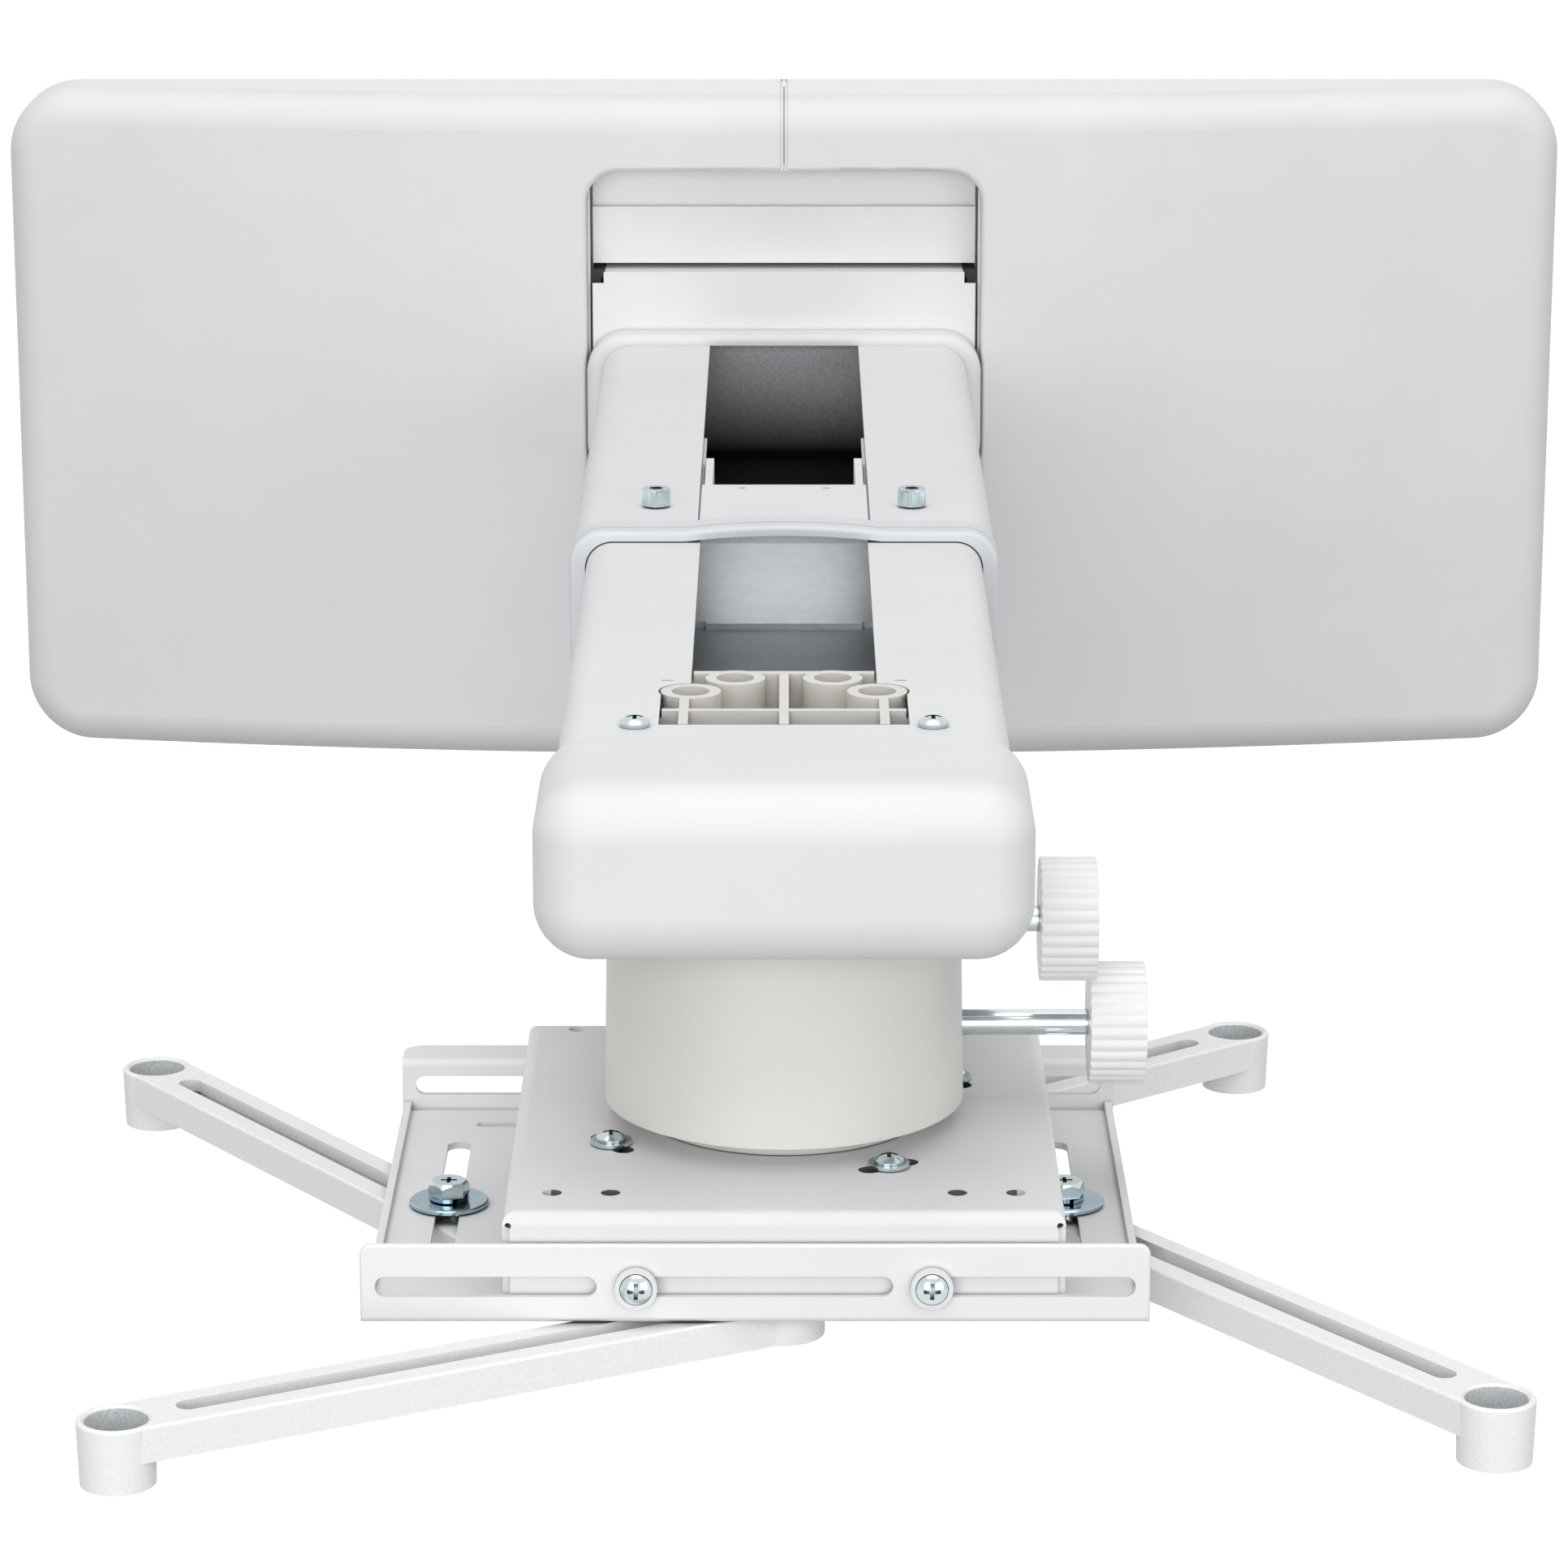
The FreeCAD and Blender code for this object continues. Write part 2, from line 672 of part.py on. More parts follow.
def clamp_screws():
    """Two socket-head screws that clamp the inner arm."""
    solids = []
    y = outer_front_y + clamp_screw_from_front
    for x in (-clamp_screw_x, clamp_screw_x):
        low = arm_top + clamp_head_raise
        top = low + clamp_head_height
        head = drop(clamp_head_diameter / 2, x, y, low, top)
        shank = drop(clamp_thread_diameter / 2, x, y, inner_top + face_gap, low)
        socket = hexagon(clamp_socket_flats, V(x, y, 0), top - clamp_socket_depth, top + cut_past)
        solids.append(head.fuse(shank).cut(socket).removeSplitter())
    return Part.makeCompound(solids)


def arm_cutout(inset, z0, z1):
    """Opening in the inner arm's top over the cast block, smaller all round by an inset."""
    c = cutout_half_width - inset
    r = block_boss_outer / 2 + cutout_gap - inset
    s = inner_slot_half - inset
    rear = axis_y + boss_side_y
    opening = box(-c, c, axis_y - cutout_from_axis_front + inset, rear, z0, z1)
    rounds = [drop(r, sx * boss_side_x, rear, z0, z1) for sx in (-1, 1)]
    return opening.fuse(rounds + [box(-s, s, axis_y, inner_rear_y + cut_past, z0, z1)]).removeSplitter()


def inner_arm():
    """Folded channel that slides in the outer arm, open on top, cut out over the cast block."""
    w = inner_half_width
    arm = tube_section(w, inner_bottom, inner_top, inner_corner, inner_rear_y, inner_front_y)
    inside = tube_section(w - sheet, inner_bottom + sheet, inner_top - sheet, inner_corner - sheet,
                          0, 2 * inner_front_y)
    z0 = inner_top - 2 * sheet
    z1 = inner_top + sheet
    cuts = [inside, arm_cutout(0, z0, z1)]
    hole = stem_radius + arm_hole_clearance
    cuts.append(drop(hole, 0, axis_y, inner_bottom - sheet, inner_bottom + 2 * sheet))
    for sx in (-1, 1):
        middle = V(sx * slit_x, axis_y + boss_side_y + slit_behind_bosses, inner_top)
        cuts.append(slot_prism(slit_length, slit_width, middle, x_axis, z_axis, 4 * sheet))
        cuts.append(drop(pan_thread_diameter / 2, sx * block_screw_x, axis_y - block_screw_ahead, z0, z1))
    return arm.cut(cuts)


def glide_pads():
    """Plastic pads on both sides of the inner arm's rear end."""
    solids = []
    room = outer_half_width - sheet - inner_half_width
    middle = (inner_top + inner_bottom) / 2
    for sx in (-1, 1):
        x0 = min(sx * inner_half_width, sx * (inner_half_width + room - face_gap))
        pad = box(x0, x0 + room - face_gap, inner_rear_y - glide_length, inner_rear_y,
                  middle - glide_height / 2, middle + glide_height / 2)
        solids.append(pad)
    return Part.makeCompound(solids)


def stiffener():
    """Galvanised channel on the floor of the inner arm."""
    w = stiffener_half_width
    t = stiffener_sheet
    z0 = inner_bottom + sheet
    front = outer_front_y + stiffener_behind_front
    body = box(-w, w, front, inner_rear_y, z0, z0 + stiffener_height)
    cuts = [box(-w + t, w - t, 2 * front, 0, z0 + t, z0 + 2 * stiffener_height)]
    n = stiffener_notch
    for x in (-stiffener_notch_x, stiffener_notch_x):
        cuts.append(box(x - n / 2, x + n / 2, front - n, front + n, z0, z0 + t))
    return body.cut(cuts)


def head_block():
    """Cast block in the arm: ribs and tube bosses stand up in the cut-out, a stem carries the gimbal."""
    w = inner_half_width - sheet - block_side_gap
    z0 = inner_bottom + sheet
    z1 = inner_top - sheet
    y0 = axis_y - block_front
    y1 = axis_y + block_rear
    t = block_wall
    outline = tube_section(w, z0, z1, inner_corner - sheet, y1, y0)
    body = outline.cut(box(-w + t, w - t, y0 + t, y1 - t, z0 + block_floor, z1 + t))
    room = outline.fuse(box(-cutout_half_width, cutout_half_width, y0, y1, z0, inner_top))
    r = block_rib / 2
    ribs = [box(x - r, x + r, y0, y1, z0, inner_top) for x in (-block_rib_x, 0, block_rib_x)]
    for y in (axis_y + block_cross_rib, axis_y - boss_side_y):
        ribs.append(box(-w, w, y - r, y + r, z0, inner_top).common(room))
    ribs.append(box(-w, w, y1 - t, y1, z0, inner_top).common(room))
    bosses = []
    bores = []
    for sx in (-1, 1):
        for x, y in ((boss_rear_x, boss_rear_y), (boss_side_x, boss_side_y)):
            bosses.append(drop(block_boss_outer / 2, sx * x, axis_y + y, z0, inner_top))
            bores.append(drop(block_boss_inner / 2, sx * x, axis_y + y, z0 + block_floor, inner_top + t))
        x = sx * block_screw_x
        y = axis_y - block_screw_ahead
        bosses.append(drop(block_screw_boss / 2, x, y, z0, z1))
        bores.append(drop(pan_thread_diameter / 2, x, y, z1 - pan_screw_length, z1 + t))
    lid = box(-w, w, y0, y1 + block_boss_outer, z1, inner_top + t)
    lid = lid.cut(arm_cutout(cutout_gap, z1, inner_top + t))
    stem = drop(stem_radius, 0, axis_y, gimbal_z - stem_below_gimbal, z0 + block_floor)
    pin = Part.makeCylinder(gimbal_pin_radius, 4 * stem_radius, V(-2 * stem_radius, axis_y, gimbal_z), x_axis)
    return body.fuse(ribs + bosses + [stem]).cut([lid, pin] + bores).removeSplitter()


def pan_screw(center, direction, length):
    """Pan-head screw with a cross recess, head side at the center, thread along the direction."""
    head = domed_head(pan_head_diameter / 2, pan_side_height, pan_head_height)
    shank = Part.makeCylinder(pan_thread_diameter / 2, length, V(0, 0, -length))
    screw = head.cut(cross_recess(0, 0, pan_head_height)).fuse(shank)
    screw.Placement = FreeCAD.Placement(center, FreeCAD.Rotation(V(0, 0, -1), direction))
    return screw.removeSplitter()


def block_screws():
    """Two pan-head screws that hold the cast block to the arm's top."""
    solids = []
    for sx in (-1, 1):
        place = V(sx * block_screw_x, axis_y - block_screw_ahead, inner_top)
        solids.append(pan_screw(place, V(0, 0, -1), pan_screw_length - sheet))
    return Part.makeCompound(solids)


def front_cap():
    """Moulded cap over the front of the inner arm, with large soft edges."""
    w = inner_half_width + slide_gap + cap_wall
    z0 = inner_bottom - cap_drop
    z1 = inner_top + cap_top_wall
    rear = inner_front_y + cap_overlap
    front = inner_front_y - cap_nose
    body = tube_section(w, z0, z1, cap_corner, rear, front)
    front_face = min(body.Faces, key=lambda face: face.CenterOfMass.y)
    body = body.makeFillet(cap_edge, front_face.Edges)
    rear_edges = edges_where(body, lambda p, e: abs(p.y - rear) < near)
    body = body.makeFillet(cap_rear_rounding, rear_edges)
    socket = tube_section(inner_half_width, inner_bottom, inner_top, inner_corner, 0, inner_front_y)
    i = cap_hollow_inset
    hollow = tube_section(inner_half_width - i, inner_bottom + i, inner_top - i, inner_corner,
                          inner_front_y + sheet, front + cap_wall)
    drum_room = drop(drum_bottom_radius + cap_drum_gap, 0, axis_y, z0 - cap_drop, inner_bottom)
    return body.cut([socket, hollow, drum_room])


def pitch_pin():
    """Cross pin through the stem, on which the gimbal ring pitches."""
    reach = gimbal_ring_outer - sheet
    return Part.makeCylinder(gimbal_pin_radius, 2 * reach, V(-reach, axis_y, gimbal_z), x_axis)


def gimbal_ring():
    """Ring between the stem and the drum, bored for the two pairs of pins."""
    z0 = gimbal_z - gimbal_ring_height / 2
    z1 = gimbal_z + gimbal_ring_height / 2
    ring = drop(gimbal_ring_outer, 0, axis_y, z0, z1).cut(drop(gimbal_ring_inner, 0, axis_y, z0, z1))
    reach = 2 * gimbal_ring_outer
    bore = gimbal_pin_radius + running_fit
    across = Part.makeCylinder(bore, 2 * reach, V(-reach, axis_y, gimbal_z), x_axis)
    along = Part.makeCylinder(gimbal_pin_radius, 2 * reach, V(0, axis_y - reach, gimbal_z), y_axis)
    return ring.cut([across, along])


def drum_radius(z):
    """Outer radius of the drum's drafted wall at a height."""
    return drum_bottom_radius - (z - drum_bottom) * math.tan(math.radians(drum_draft_degrees))


def drum_inner_radius(z):
    """Inner radius of the drum's drafted wall at a height."""
    return drum_radius(z) - drum_wall


def roll_pins():
    """Two short pins from the gimbal ring into the drum."""
    solids = []
    length = drum_inner_radius(gimbal_z) - gimbal_ring_inner - sheet
    for sy in (-1, 1):
        start = V(0, axis_y + sy * (gimbal_ring_inner + sheet / 2), gimbal_z)
        solids.append(Part.makeCylinder(gimbal_pin_radius, length, start, V(0, sy, 0)))
    return Part.makeCompound(solids)


def drum():
    """Drafted drum shell with a hole for the stem, pin bosses and rod bosses inside."""
    r0 = drum_bottom_radius
    outer = Part.makeCone(r0, drum_radius(drum_top), drum_height, V(0, axis_y, drum_bottom), z_axis)
    rim = edges_where(outer, lambda p, e: abs(p.z - drum_top) < near)
    outer = outer.makeFillet(drum_edge_radius, rim)
    ceiling = drum_top - drum_wall
    room = Part.makeCone(drum_inner_radius(drum_bottom), drum_inner_radius(ceiling), ceiling - drum_bottom,
                         V(0, axis_y, drum_bottom), z_axis)
    shell = outer.cut(room).cut(drop(drum_top_hole, 0, axis_y, drum_bottom, drum_top + cut_past))
    bosses = []
    bores = []
    for sy in (-1, 1):
        start = V(0, axis_y + sy * (gimbal_ring_outer + gimbal_side_gap), gimbal_z)
        bosses.append(Part.makeCylinder(drum_boss_radius, r0, start, V(0, sy, 0)).common(room))
        bore_length = drum_inner_radius(gimbal_z) - gimbal_ring_outer - sheet / 2 + running_fit
        bores.append(Part.makeCylinder(gimbal_pin_radius + running_fit, bore_length, start, V(0, sy, 0)))
    for y, z in rod_places():
        start = V(rod_boss_inner_x, y, z)
        bosses.append(Part.makeCylinder(rod_boss_radius, r0, start, x_axis).common(room))
        bores.append(Part.makeCylinder(rod_diameter / 2 + running_fit, r0, start, x_axis))
    return shell.fuse(bosses).cut(bores).removeSplitter()


def rod_places():
    """Y and Z of the roll rod and of the pitch rod."""
    roll = (axis_y - roll_rod_ahead, gimbal_z + roll_rod_above_gimbal)
    pitch = (axis_y + pitch_rod_behind, gimbal_z - pitch_rod_below_gimbal)
    return roll, pitch


def drum_base():
    """Floor of the drum with the hub and spigot on which the swivel plate turns."""
    r = drum_inner_radius(drum_bottom + drum_base_floor)
    floor = drop(r, 0, axis_y, drum_bottom, drum_bottom + drum_base_floor)
    hub = drop(hub_radius, 0, axis_y, drum_bottom - hub_height, drum_bottom)
    spigot = drop(spigot_radius, 0, axis_y, plate_top - sheet - face_gap, drum_bottom)
    return floor.fuse([hub, spigot]).removeSplitter()


def swivel_disc():
    """Round disc under the swivel plate, tapped for the four swivel screws."""
    z1 = plate_top - sheet - face_gap
    disc = drop(disc_radius, 0, axis_y, z1 - disc_thickness, z1)
    for x, y in swivel_screw_places():
        disc = disc.cut(drop(swivel_screw_diameter / 2, x, y, z1 - 2 * disc_thickness, z1 + cut_past))
    return disc


def swivel_screw_places():
    """X and Y of the screws in the arc slots."""
    places = []
    for i in range(swivel_slot_count):
        angle = math.radians(swivel_slot_start_degrees + 360 * i / swivel_slot_count)
        places.append((swivel_slot_radius * math.cos(angle), axis_y + swivel_slot_radius * math.sin(angle)))
    return places


def swivel_screws():
    """Four cross-recess screws with captive washers, standing in the arc slots."""
    solids = []
    z0 = plate_top + face_gap
    for x, y in swivel_screw_places():
        washer = drop(swivel_washer_diameter / 2, x, y, z0, z0 + swivel_washer_thickness)
        z1 = z0 + swivel_washer_thickness
        head = domed_head(swivel_head_diameter / 2, swivel_side_height, swivel_head_height)
        head.translate(V(x, y, z1))
        cross = cross_recess(x, y, z1 + swivel_head_height)
        low = plate_top - sheet - face_gap - disc_thickness
        shank = drop(swivel_screw_diameter / 2, x, y, low, z0)
        solids.append(washer.fuse([head, shank]).cut(cross).removeSplitter())
    return Part.makeCompound(solids)


def knob(x, y, z):
    """Fluted plastic knob on the X axis, bored for its rod."""
    r = knob_diameter / 2
    place = V(x, y, z)
    body = Part.makeCylinder(r, knob_width, place, x_axis)
    rims = edges_where(body, lambda p, e: abs(p.x - x) < near or abs(p.x - x - knob_width) < near)
    body = body.makeChamfer(knob_edge, rims)
    flute_radius = math.pi * r / knob_flutes / 2
    centre_radius = r + flute_radius - knob_flute_depth
    flutes = []
    for i in range(knob_flutes):
        angle = 2 * math.pi * i / knob_flutes
        start = V(x - cut_past, y + centre_radius * math.cos(angle), z + centre_radius * math.sin(angle))
        flutes.append(Part.makeCylinder(flute_radius, knob_width + 2 * cut_past, start, x_axis))
    bore = Part.makeCylinder(rod_diameter / 2, knob_width - sheet, place, x_axis)
    return body.cut(flutes + [bore])


def rod(x_knob, y, z):
    """Zinc rod from inside the drum to its knob, with a collar at its inner end."""
    inner_end = rod_boss_inner_x - face_gap - rod_collar_width
    start = V(inner_end, y, z)
    shaft = Part.makeCylinder(rod_diameter / 2, x_knob + knob_width - sheet - inner_end, start, x_axis)
    collar = Part.makeCylinder(rod_collar_diameter / 2, rod_collar_width, start, x_axis)
    return shaft.fuse(collar).removeSplitter()


def swivel_plate():
    """Shallow sheet tray, edges folded down, with arc slots round its centre hole."""
    w = plate_width / 2
    z0 = plate_top - plate_flange
    body = box(-w, w, plate_front_y, plate_rear_y, z0, plate_top)
    top_edges = edges_where(body, lambda p, e: abs(p.z - plate_top) < near)
    body = body.makeFillet(plate_bend, top_edges)
    t = sheet
    inside = box(-w + t, w - t, plate_front_y + t, plate_rear_y - t, z0 - cut_past, plate_top - t)
    inside_edges = edges_where(inside, lambda p, e: abs(p.z - plate_top + t) < near)
    inside = inside.makeFillet(plate_bend - t, inside_edges)
    cuts = [inside, drop(spigot_radius + running_fit, 0, axis_y, z0, plate_top + cut_past)]
    side_low = plate_top - plate_side_flange
    low = plate_top - 2 * t
    high = plate_top + t
    for x in (-w, w - t):
        cuts.append(box(x, x + t, plate_front_y + t, plate_rear_y - t, z0, side_low))
    slot_width = swivel_screw_diameter + 2 * swivel_slot_clearance
    half_slot = swivel_travel_degrees + math.degrees(swivel_slot_clearance / swivel_slot_radius)
    for i in range(swivel_slot_count):
        middle = swivel_slot_start_degrees + 360 * i / swivel_slot_count
        cuts.append(arc_slot(swivel_slot_radius, slot_width, middle, half_slot, low, high))
    for sx in (-1, 1):
        for x in plate_hole_rows:
            y = plate_front_y + plate_hole_from_front
            cuts.append(drop(plate_hole_diameter / 2, sx * x, y, low, high))
        corner = V(sx * (w - plate_corner_inset), plate_front_y - t, plate_top - plate_bend)
        cuts.append(Part.makeCylinder(plate_corner_hole / 2, 3 * t, corner, y_axis))
        y = plate_rear_y - plate_rear_hole_from_rear
        cuts.append(drop(plate_hole_diameter / 2, sx * plate_rear_hole_x, y, low, high))
        for y, screw_z in ((plate_front_y, tray_slot_z), (plate_rear_y, tray_rear_slot_z)):
            corner = V(sx * w, y, z0 - cut_past)
            cuts.append(Part.makeCylinder(plate_relief, plate_flange - plate_bend + cut_past, corner, z_axis))
            start = V(sx * tray_screw_x, y - 2 * t, screw_z)
            cuts.append(Part.makeCylinder(pan_thread_diameter / 2, 4 * t, start, y_axis))
    return body.cut(cuts)


def tray():
    """Folded sheet tray: slotted front and rear flanges, a rear lip, low side lips and a slotted floor."""
    w = tray_width / 2
    x0 = tray_offset - w
    x1 = tray_offset + w
    t = tray_sheet
    i = tray_side_inset
    front = box(x0, x1, tray_front_y, tray_front_y + t, tray_bottom, tray_bottom + tray_flange)
    top = tray_bottom + tray_flange
    corners = edges_where(front, lambda p, e: abs(p.z - top) < near and abs(p.x - tray_offset) > w - near)
    front = front.makeFillet(tray_flange_corner, corners)
    upper = edges_where(front, lambda p, e: abs(p.z - top) < near)
    front = front.makeFillet(tray_flange_edge, upper)
    rear_top = tray_bottom + tray_rear_flange
    rear = box(x0, x1, tray_rear_y - t, tray_rear_y, tray_bottom, rear_top)
    end = tray_rear_y + tray_rear_lip
    lip = box(x0, x1, tray_rear_y - t, end, rear_top - t, rear_top)
    corners = edges_where(lip, lambda p, e: abs(p.y - end) < near and upright(e))
    lip = lip.makeFillet(tray_rear_corner, corners)
    pieces = [front, rear, lip]
    for x in (x0 + i, x1 - i - t):
        pieces.append(box(x, x + t, tray_front_y, tray_rear_y, tray_bottom, tray_bottom + tray_side_lip))
    floor = box(x0 + i, x1 - i, tray_front_y, tray_rear_y, tray_bottom, tray_bottom + t)
    body = floor.fuse(pieces).removeSplitter()
    folds = edges_where(body, lambda p, e: abs(p.x - tray_offset) < near and on_fold(p))
    body = body.makeFillet(tray_bend, folds)
    cuts = []
    step = tray_slot_middle / 2 + tray_slot_bridge + tray_slot_outer / 2
    for y, z in ((tray_front_y + t / 2, tray_slot_z), (tray_rear_y - t / 2, tray_rear_slot_z)):
        for x, length in ((-step, tray_slot_outer), (0, tray_slot_middle), (step, tray_slot_outer)):
            cuts.append(slot_prism(length, tray_slot_height, V(tray_offset + x, y, z), x_axis, y_axis, 3 * t))
    bolt_slot = leg_bolt_diameter + 2 * leg_slot_clearance
    mid_z = tray_bottom + t / 2
    for sx in (-1, 1):
        middle = V(tray_offset + sx * side_slot_x, tray_center_y, mid_z)
        cuts.append(slot_prism(side_slot_length, bolt_slot, middle, y_axis, z_axis, 4 * t))
        middle = V(tray_offset + sx * short_slot_x, tray_rear_y - short_slot_inset, mid_z)
        cuts.append(slot_prism(short_slot_length, short_slot_width, middle, x_axis, z_axis, 4 * t))
    for y in (tray_front_y + front_bolt_inset, tray_rear_y - rear_bolt_inset):
        middle = V(tray_offset, y, mid_z)
        cuts.append(slot_prism(cross_slot_length, bolt_slot, middle, x_axis, z_axis, 4 * t))
    return body.cut(cuts)


def upright(edge):
    """Whether an edge stands along Z."""
    return edge.BoundBox.ZLength > edge.BoundBox.XLength + edge.BoundBox.YLength


def on_fold(point):
    """Whether a point lies on an outer fold line of the tray: floor to flange, or rear flange to lip."""
    at_floor = abs(point.z - tray_bottom) < near
    at_rear = abs(point.y - tray_rear_y + tray_sheet) < near
    at_lip = abs(point.z - tray_bottom - tray_rear_flange) < near
    return at_floor or (at_rear and at_lip)


def tray_screws():
    """Pan-head screws through the tray's flange slots into the swivel plate."""
    solids = []
    seat = face_gap + tray_ring_thickness - tray_ring_sunk
    through = seat + tray_sheet + sheet
    for sx in (-1, 1):
        front = V(sx * tray_screw_x, tray_front_y - seat, tray_slot_z)
        rear = V(sx * tray_screw_x, tray_rear_y + seat, tray_rear_slot_z)
        solids.append(pan_screw(front, y_axis, through + slide_gap))
        solids.append(pan_screw(rear, -y_axis, through + tray_rear_gap))
    return Part.makeCompound(solids)


def tray_rings():
    """Plastic rings round the heads of the tray screws, and spacers at the rear screws."""
    solids = []
    r = tray_ring_diameter / 2
    h = tray_ring_thickness
    bore = pan_thread_diameter / 2
    recess = pan_head_diameter / 2 + tray_ring_clearance
    for sx in (-1, 1):
        x = sx * tray_screw_x
        places = ((V(x, tray_front_y - face_gap, tray_slot_z), -y_axis),
                  (V(x, tray_rear_y + face_gap, tray_rear_slot_z), y_axis))
        for start, out in places:
            ring = Part.makeCylinder(r, h, start, out).cut(Part.makeCylinder(bore, h, start, out))
            seat = start + out * (h - tray_ring_sunk)
            solids.append(ring.cut(Part.makeCylinder(recess, h, seat, out)))
        start = V(x, plate_rear_y, tray_rear_slot_z)
        length = tray_rear_gap - face_gap
        spacer = Part.makeCylinder(r, length, start, y_axis)
        solids.append(spacer.cut(Part.makeCylinder(bore, length, start, y_axis)))
    return Part.makeCompound(solids)


def leg(foot_at, bolt_at):
    """Cast leg with a long slot, a round eye at its inner end and a hollow foot boss."""
    along = (bolt_at - foot_at).normalize()
    side = z_axis.cross(along)
    h = leg_width / 2
    eye_at = foot_at + along * leg_length
    corners = [foot_at - side * h, eye_at - side * h, eye_at + side * h, foot_at + side * h]
    bar = extruded([p + z_axis * leg_bottom for p in corners], V(0, 0, leg_height))
    h = hex_flats / 2 + nut_clearance
    room = hex_flats / math.sqrt(3) + nut_clearance - leg_bolt_diameter / 2 - leg_slot_clearance
    a = foot_at + along * (leg_slot_from_foot - room)
    b = eye_at - along * (leg_slot_from_eye - room)
    corners = [a - side * h, b - side * h, b + side * h, a + side * h]
    low = z_axis * (leg_bottom - cut_past)
    channel = extruded([p + low for p in corners], V(0, 0, leg_height - leg_web + cut_past))
    eye = drop(leg_eye_radius, eye_at.x, eye_at.y, leg_bottom, leg_top)
    draft = foot_height * math.tan(math.radians(foot_draft_degrees))
    foot_low = foot_at + z_axis * (leg_top - foot_height)
    boss = Part.makeCone(foot_radius - draft, foot_radius, foot_height, foot_low)
    slot_start = foot_at + along * leg_slot_from_foot
    slot_end = eye_at - along * leg_slot_from_eye
    middle = (slot_start + slot_end) * 0.5 + z_axis * (leg_top - leg_height / 2)
    slot_length = (slot_end - slot_start).Length
    slot_width = leg_bolt_diameter + 2 * leg_slot_clearance
    slot = slot_prism(slot_length, slot_width, middle, along, z_axis, 2 * leg_height)
    bore = drop(foot_bore, foot_at.x, foot_at.y, leg_top - foot_height + foot_floor, leg_top + cut_past)
    rim_low = foot_at + z_axis * (leg_top - foot_rim)
    rim = Part.makeCone(foot_bore, foot_bore + 2 * foot_rim, 2 * foot_rim, rim_low)
    hole = drop(foot_screw_hole, foot_at.x, foot_at.y, leg_top - 2 * foot_height, leg_top)
    body = bar.fuse([eye, boss]).removeSplitter()
    body = body.makeFillet(leg_edge, edges_where(body, lambda p, e: abs(p.z - leg_top) < near))
    return body.cut([slot, channel, bore, rim, hole]).removeSplitter()


def leg_bolt(x, y):
    """Hex-head bolt with a cross recess."""
    z0 = tray_floor_top + face_gap + leg_washer_thickness + spring_washer_thickness
    z1 = z0 + hex_height
    head = hexagon(hex_flats, V(x, y, 0), z0, z1)
    bevel = Part.makeCone(hex_bevel_radius + hex_height, hex_bevel_radius, hex_height, V(x, y, z0))
    cross = cross_recess(x, y, z1)
    shank = drop(leg_bolt_diameter / 2, x, y, nut_bottom - bolt_end, z0)
    return head.common(bevel).cut(cross).fuse(shank).removeSplitter()


def leg_washers(x, y):
    """Spring washer on a wide flat washer."""
    z0 = tray_floor_top + face_gap
    z1 = z0 + leg_washer_thickness
    z2 = z1 + spring_washer_thickness
    r = leg_bolt_diameter / 2
    flat = drop(leg_washer_diameter / 2, x, y, z0, z1).cut(drop(r, x, y, z0, z1))
    spring = drop(spring_washer_diameter / 2, x, y, z1, z2).cut(drop(r, x, y, z1, z2))
    return Part.makeCompound([flat, spring])


def leg_nut(bolt_at, foot_at):
    """Hex nut in the channel under the leg, its flats along the leg."""
    along = bolt_at - foot_at
    nut = hexagon(hex_flats, bolt_at, nut_bottom, nut_top, math.atan2(along.y, along.x))
    return nut.cut(drop(leg_bolt_diameter / 2, bolt_at.x, bolt_at.y, nut_bottom, nut_top))


def main():
    cover_left, cover_right = cover_halves()
    roll_place, pitch_place = rod_places()
    nodes = {
        "wall_plate": wall_plate(),
        "hook_bracket": hook_bracket(),
        "arm_base": arm_base(),
        "base_collar": base_collar(),
        "cover_left": cover_left,
        "cover_right": cover_right,
        "outer_arm": outer_arm(),
        "slot_bridge": slot_bridge(),
        "trim_ring": trim_ring(),
        "clamp_screws": clamp_screws(),
        "inner_arm": inner_arm(),
        "glide_pads": glide_pads(),
        "arm_stiffener": stiffener(),
        "head_block": head_block(),
        "block_screws": block_screws(),
        "front_cap": front_cap(),
        "pitch_pin": pitch_pin(),
        "gimbal_ring": gimbal_ring(),
        "roll_pins": roll_pins(),
        "drum": drum(),
        "drum_base": drum_base(),
        "swivel_disc": swivel_disc(),
        "swivel_screws": swivel_screws(),
        "roll_knob": knob(roll_knob_x, *roll_place),
        "roll_rod": rod(roll_knob_x, *roll_place),
        "pitch_knob": knob(pitch_knob_x, *pitch_place),
        "pitch_rod": rod(pitch_knob_x, *pitch_place),
        "swivel_plate": swivel_plate(),
        "tray": tray(),
        "tray_screws": tray_screws(),
        "tray_rings": tray_rings(),
    }
    tray_center = V(tray_offset, tray_center_y, 0)
    for name, (foot, bolt) in leg_places.items():
        foot_at = tray_center + V(*foot, 0)
        bolt_at = tray_center + V(*bolt, 0)
        nodes["leg_" + name] = leg(foot_at, bolt_at)
        nodes["bolt_" + name] = leg_bolt(bolt_at.x, bolt_at.y)
        nodes["washers_" + name] = leg_washers(bolt_at.x, bolt_at.y)
        nodes["nut_" + name] = leg_nut(bolt_at, foot_at)
    for name, shape in nodes.items():
        shape.exportStep("parts/" + name + ".step")
        print(name, len(shape.Solids), round(shape.Volume), shape.isValid())


main()
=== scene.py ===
import json
import math

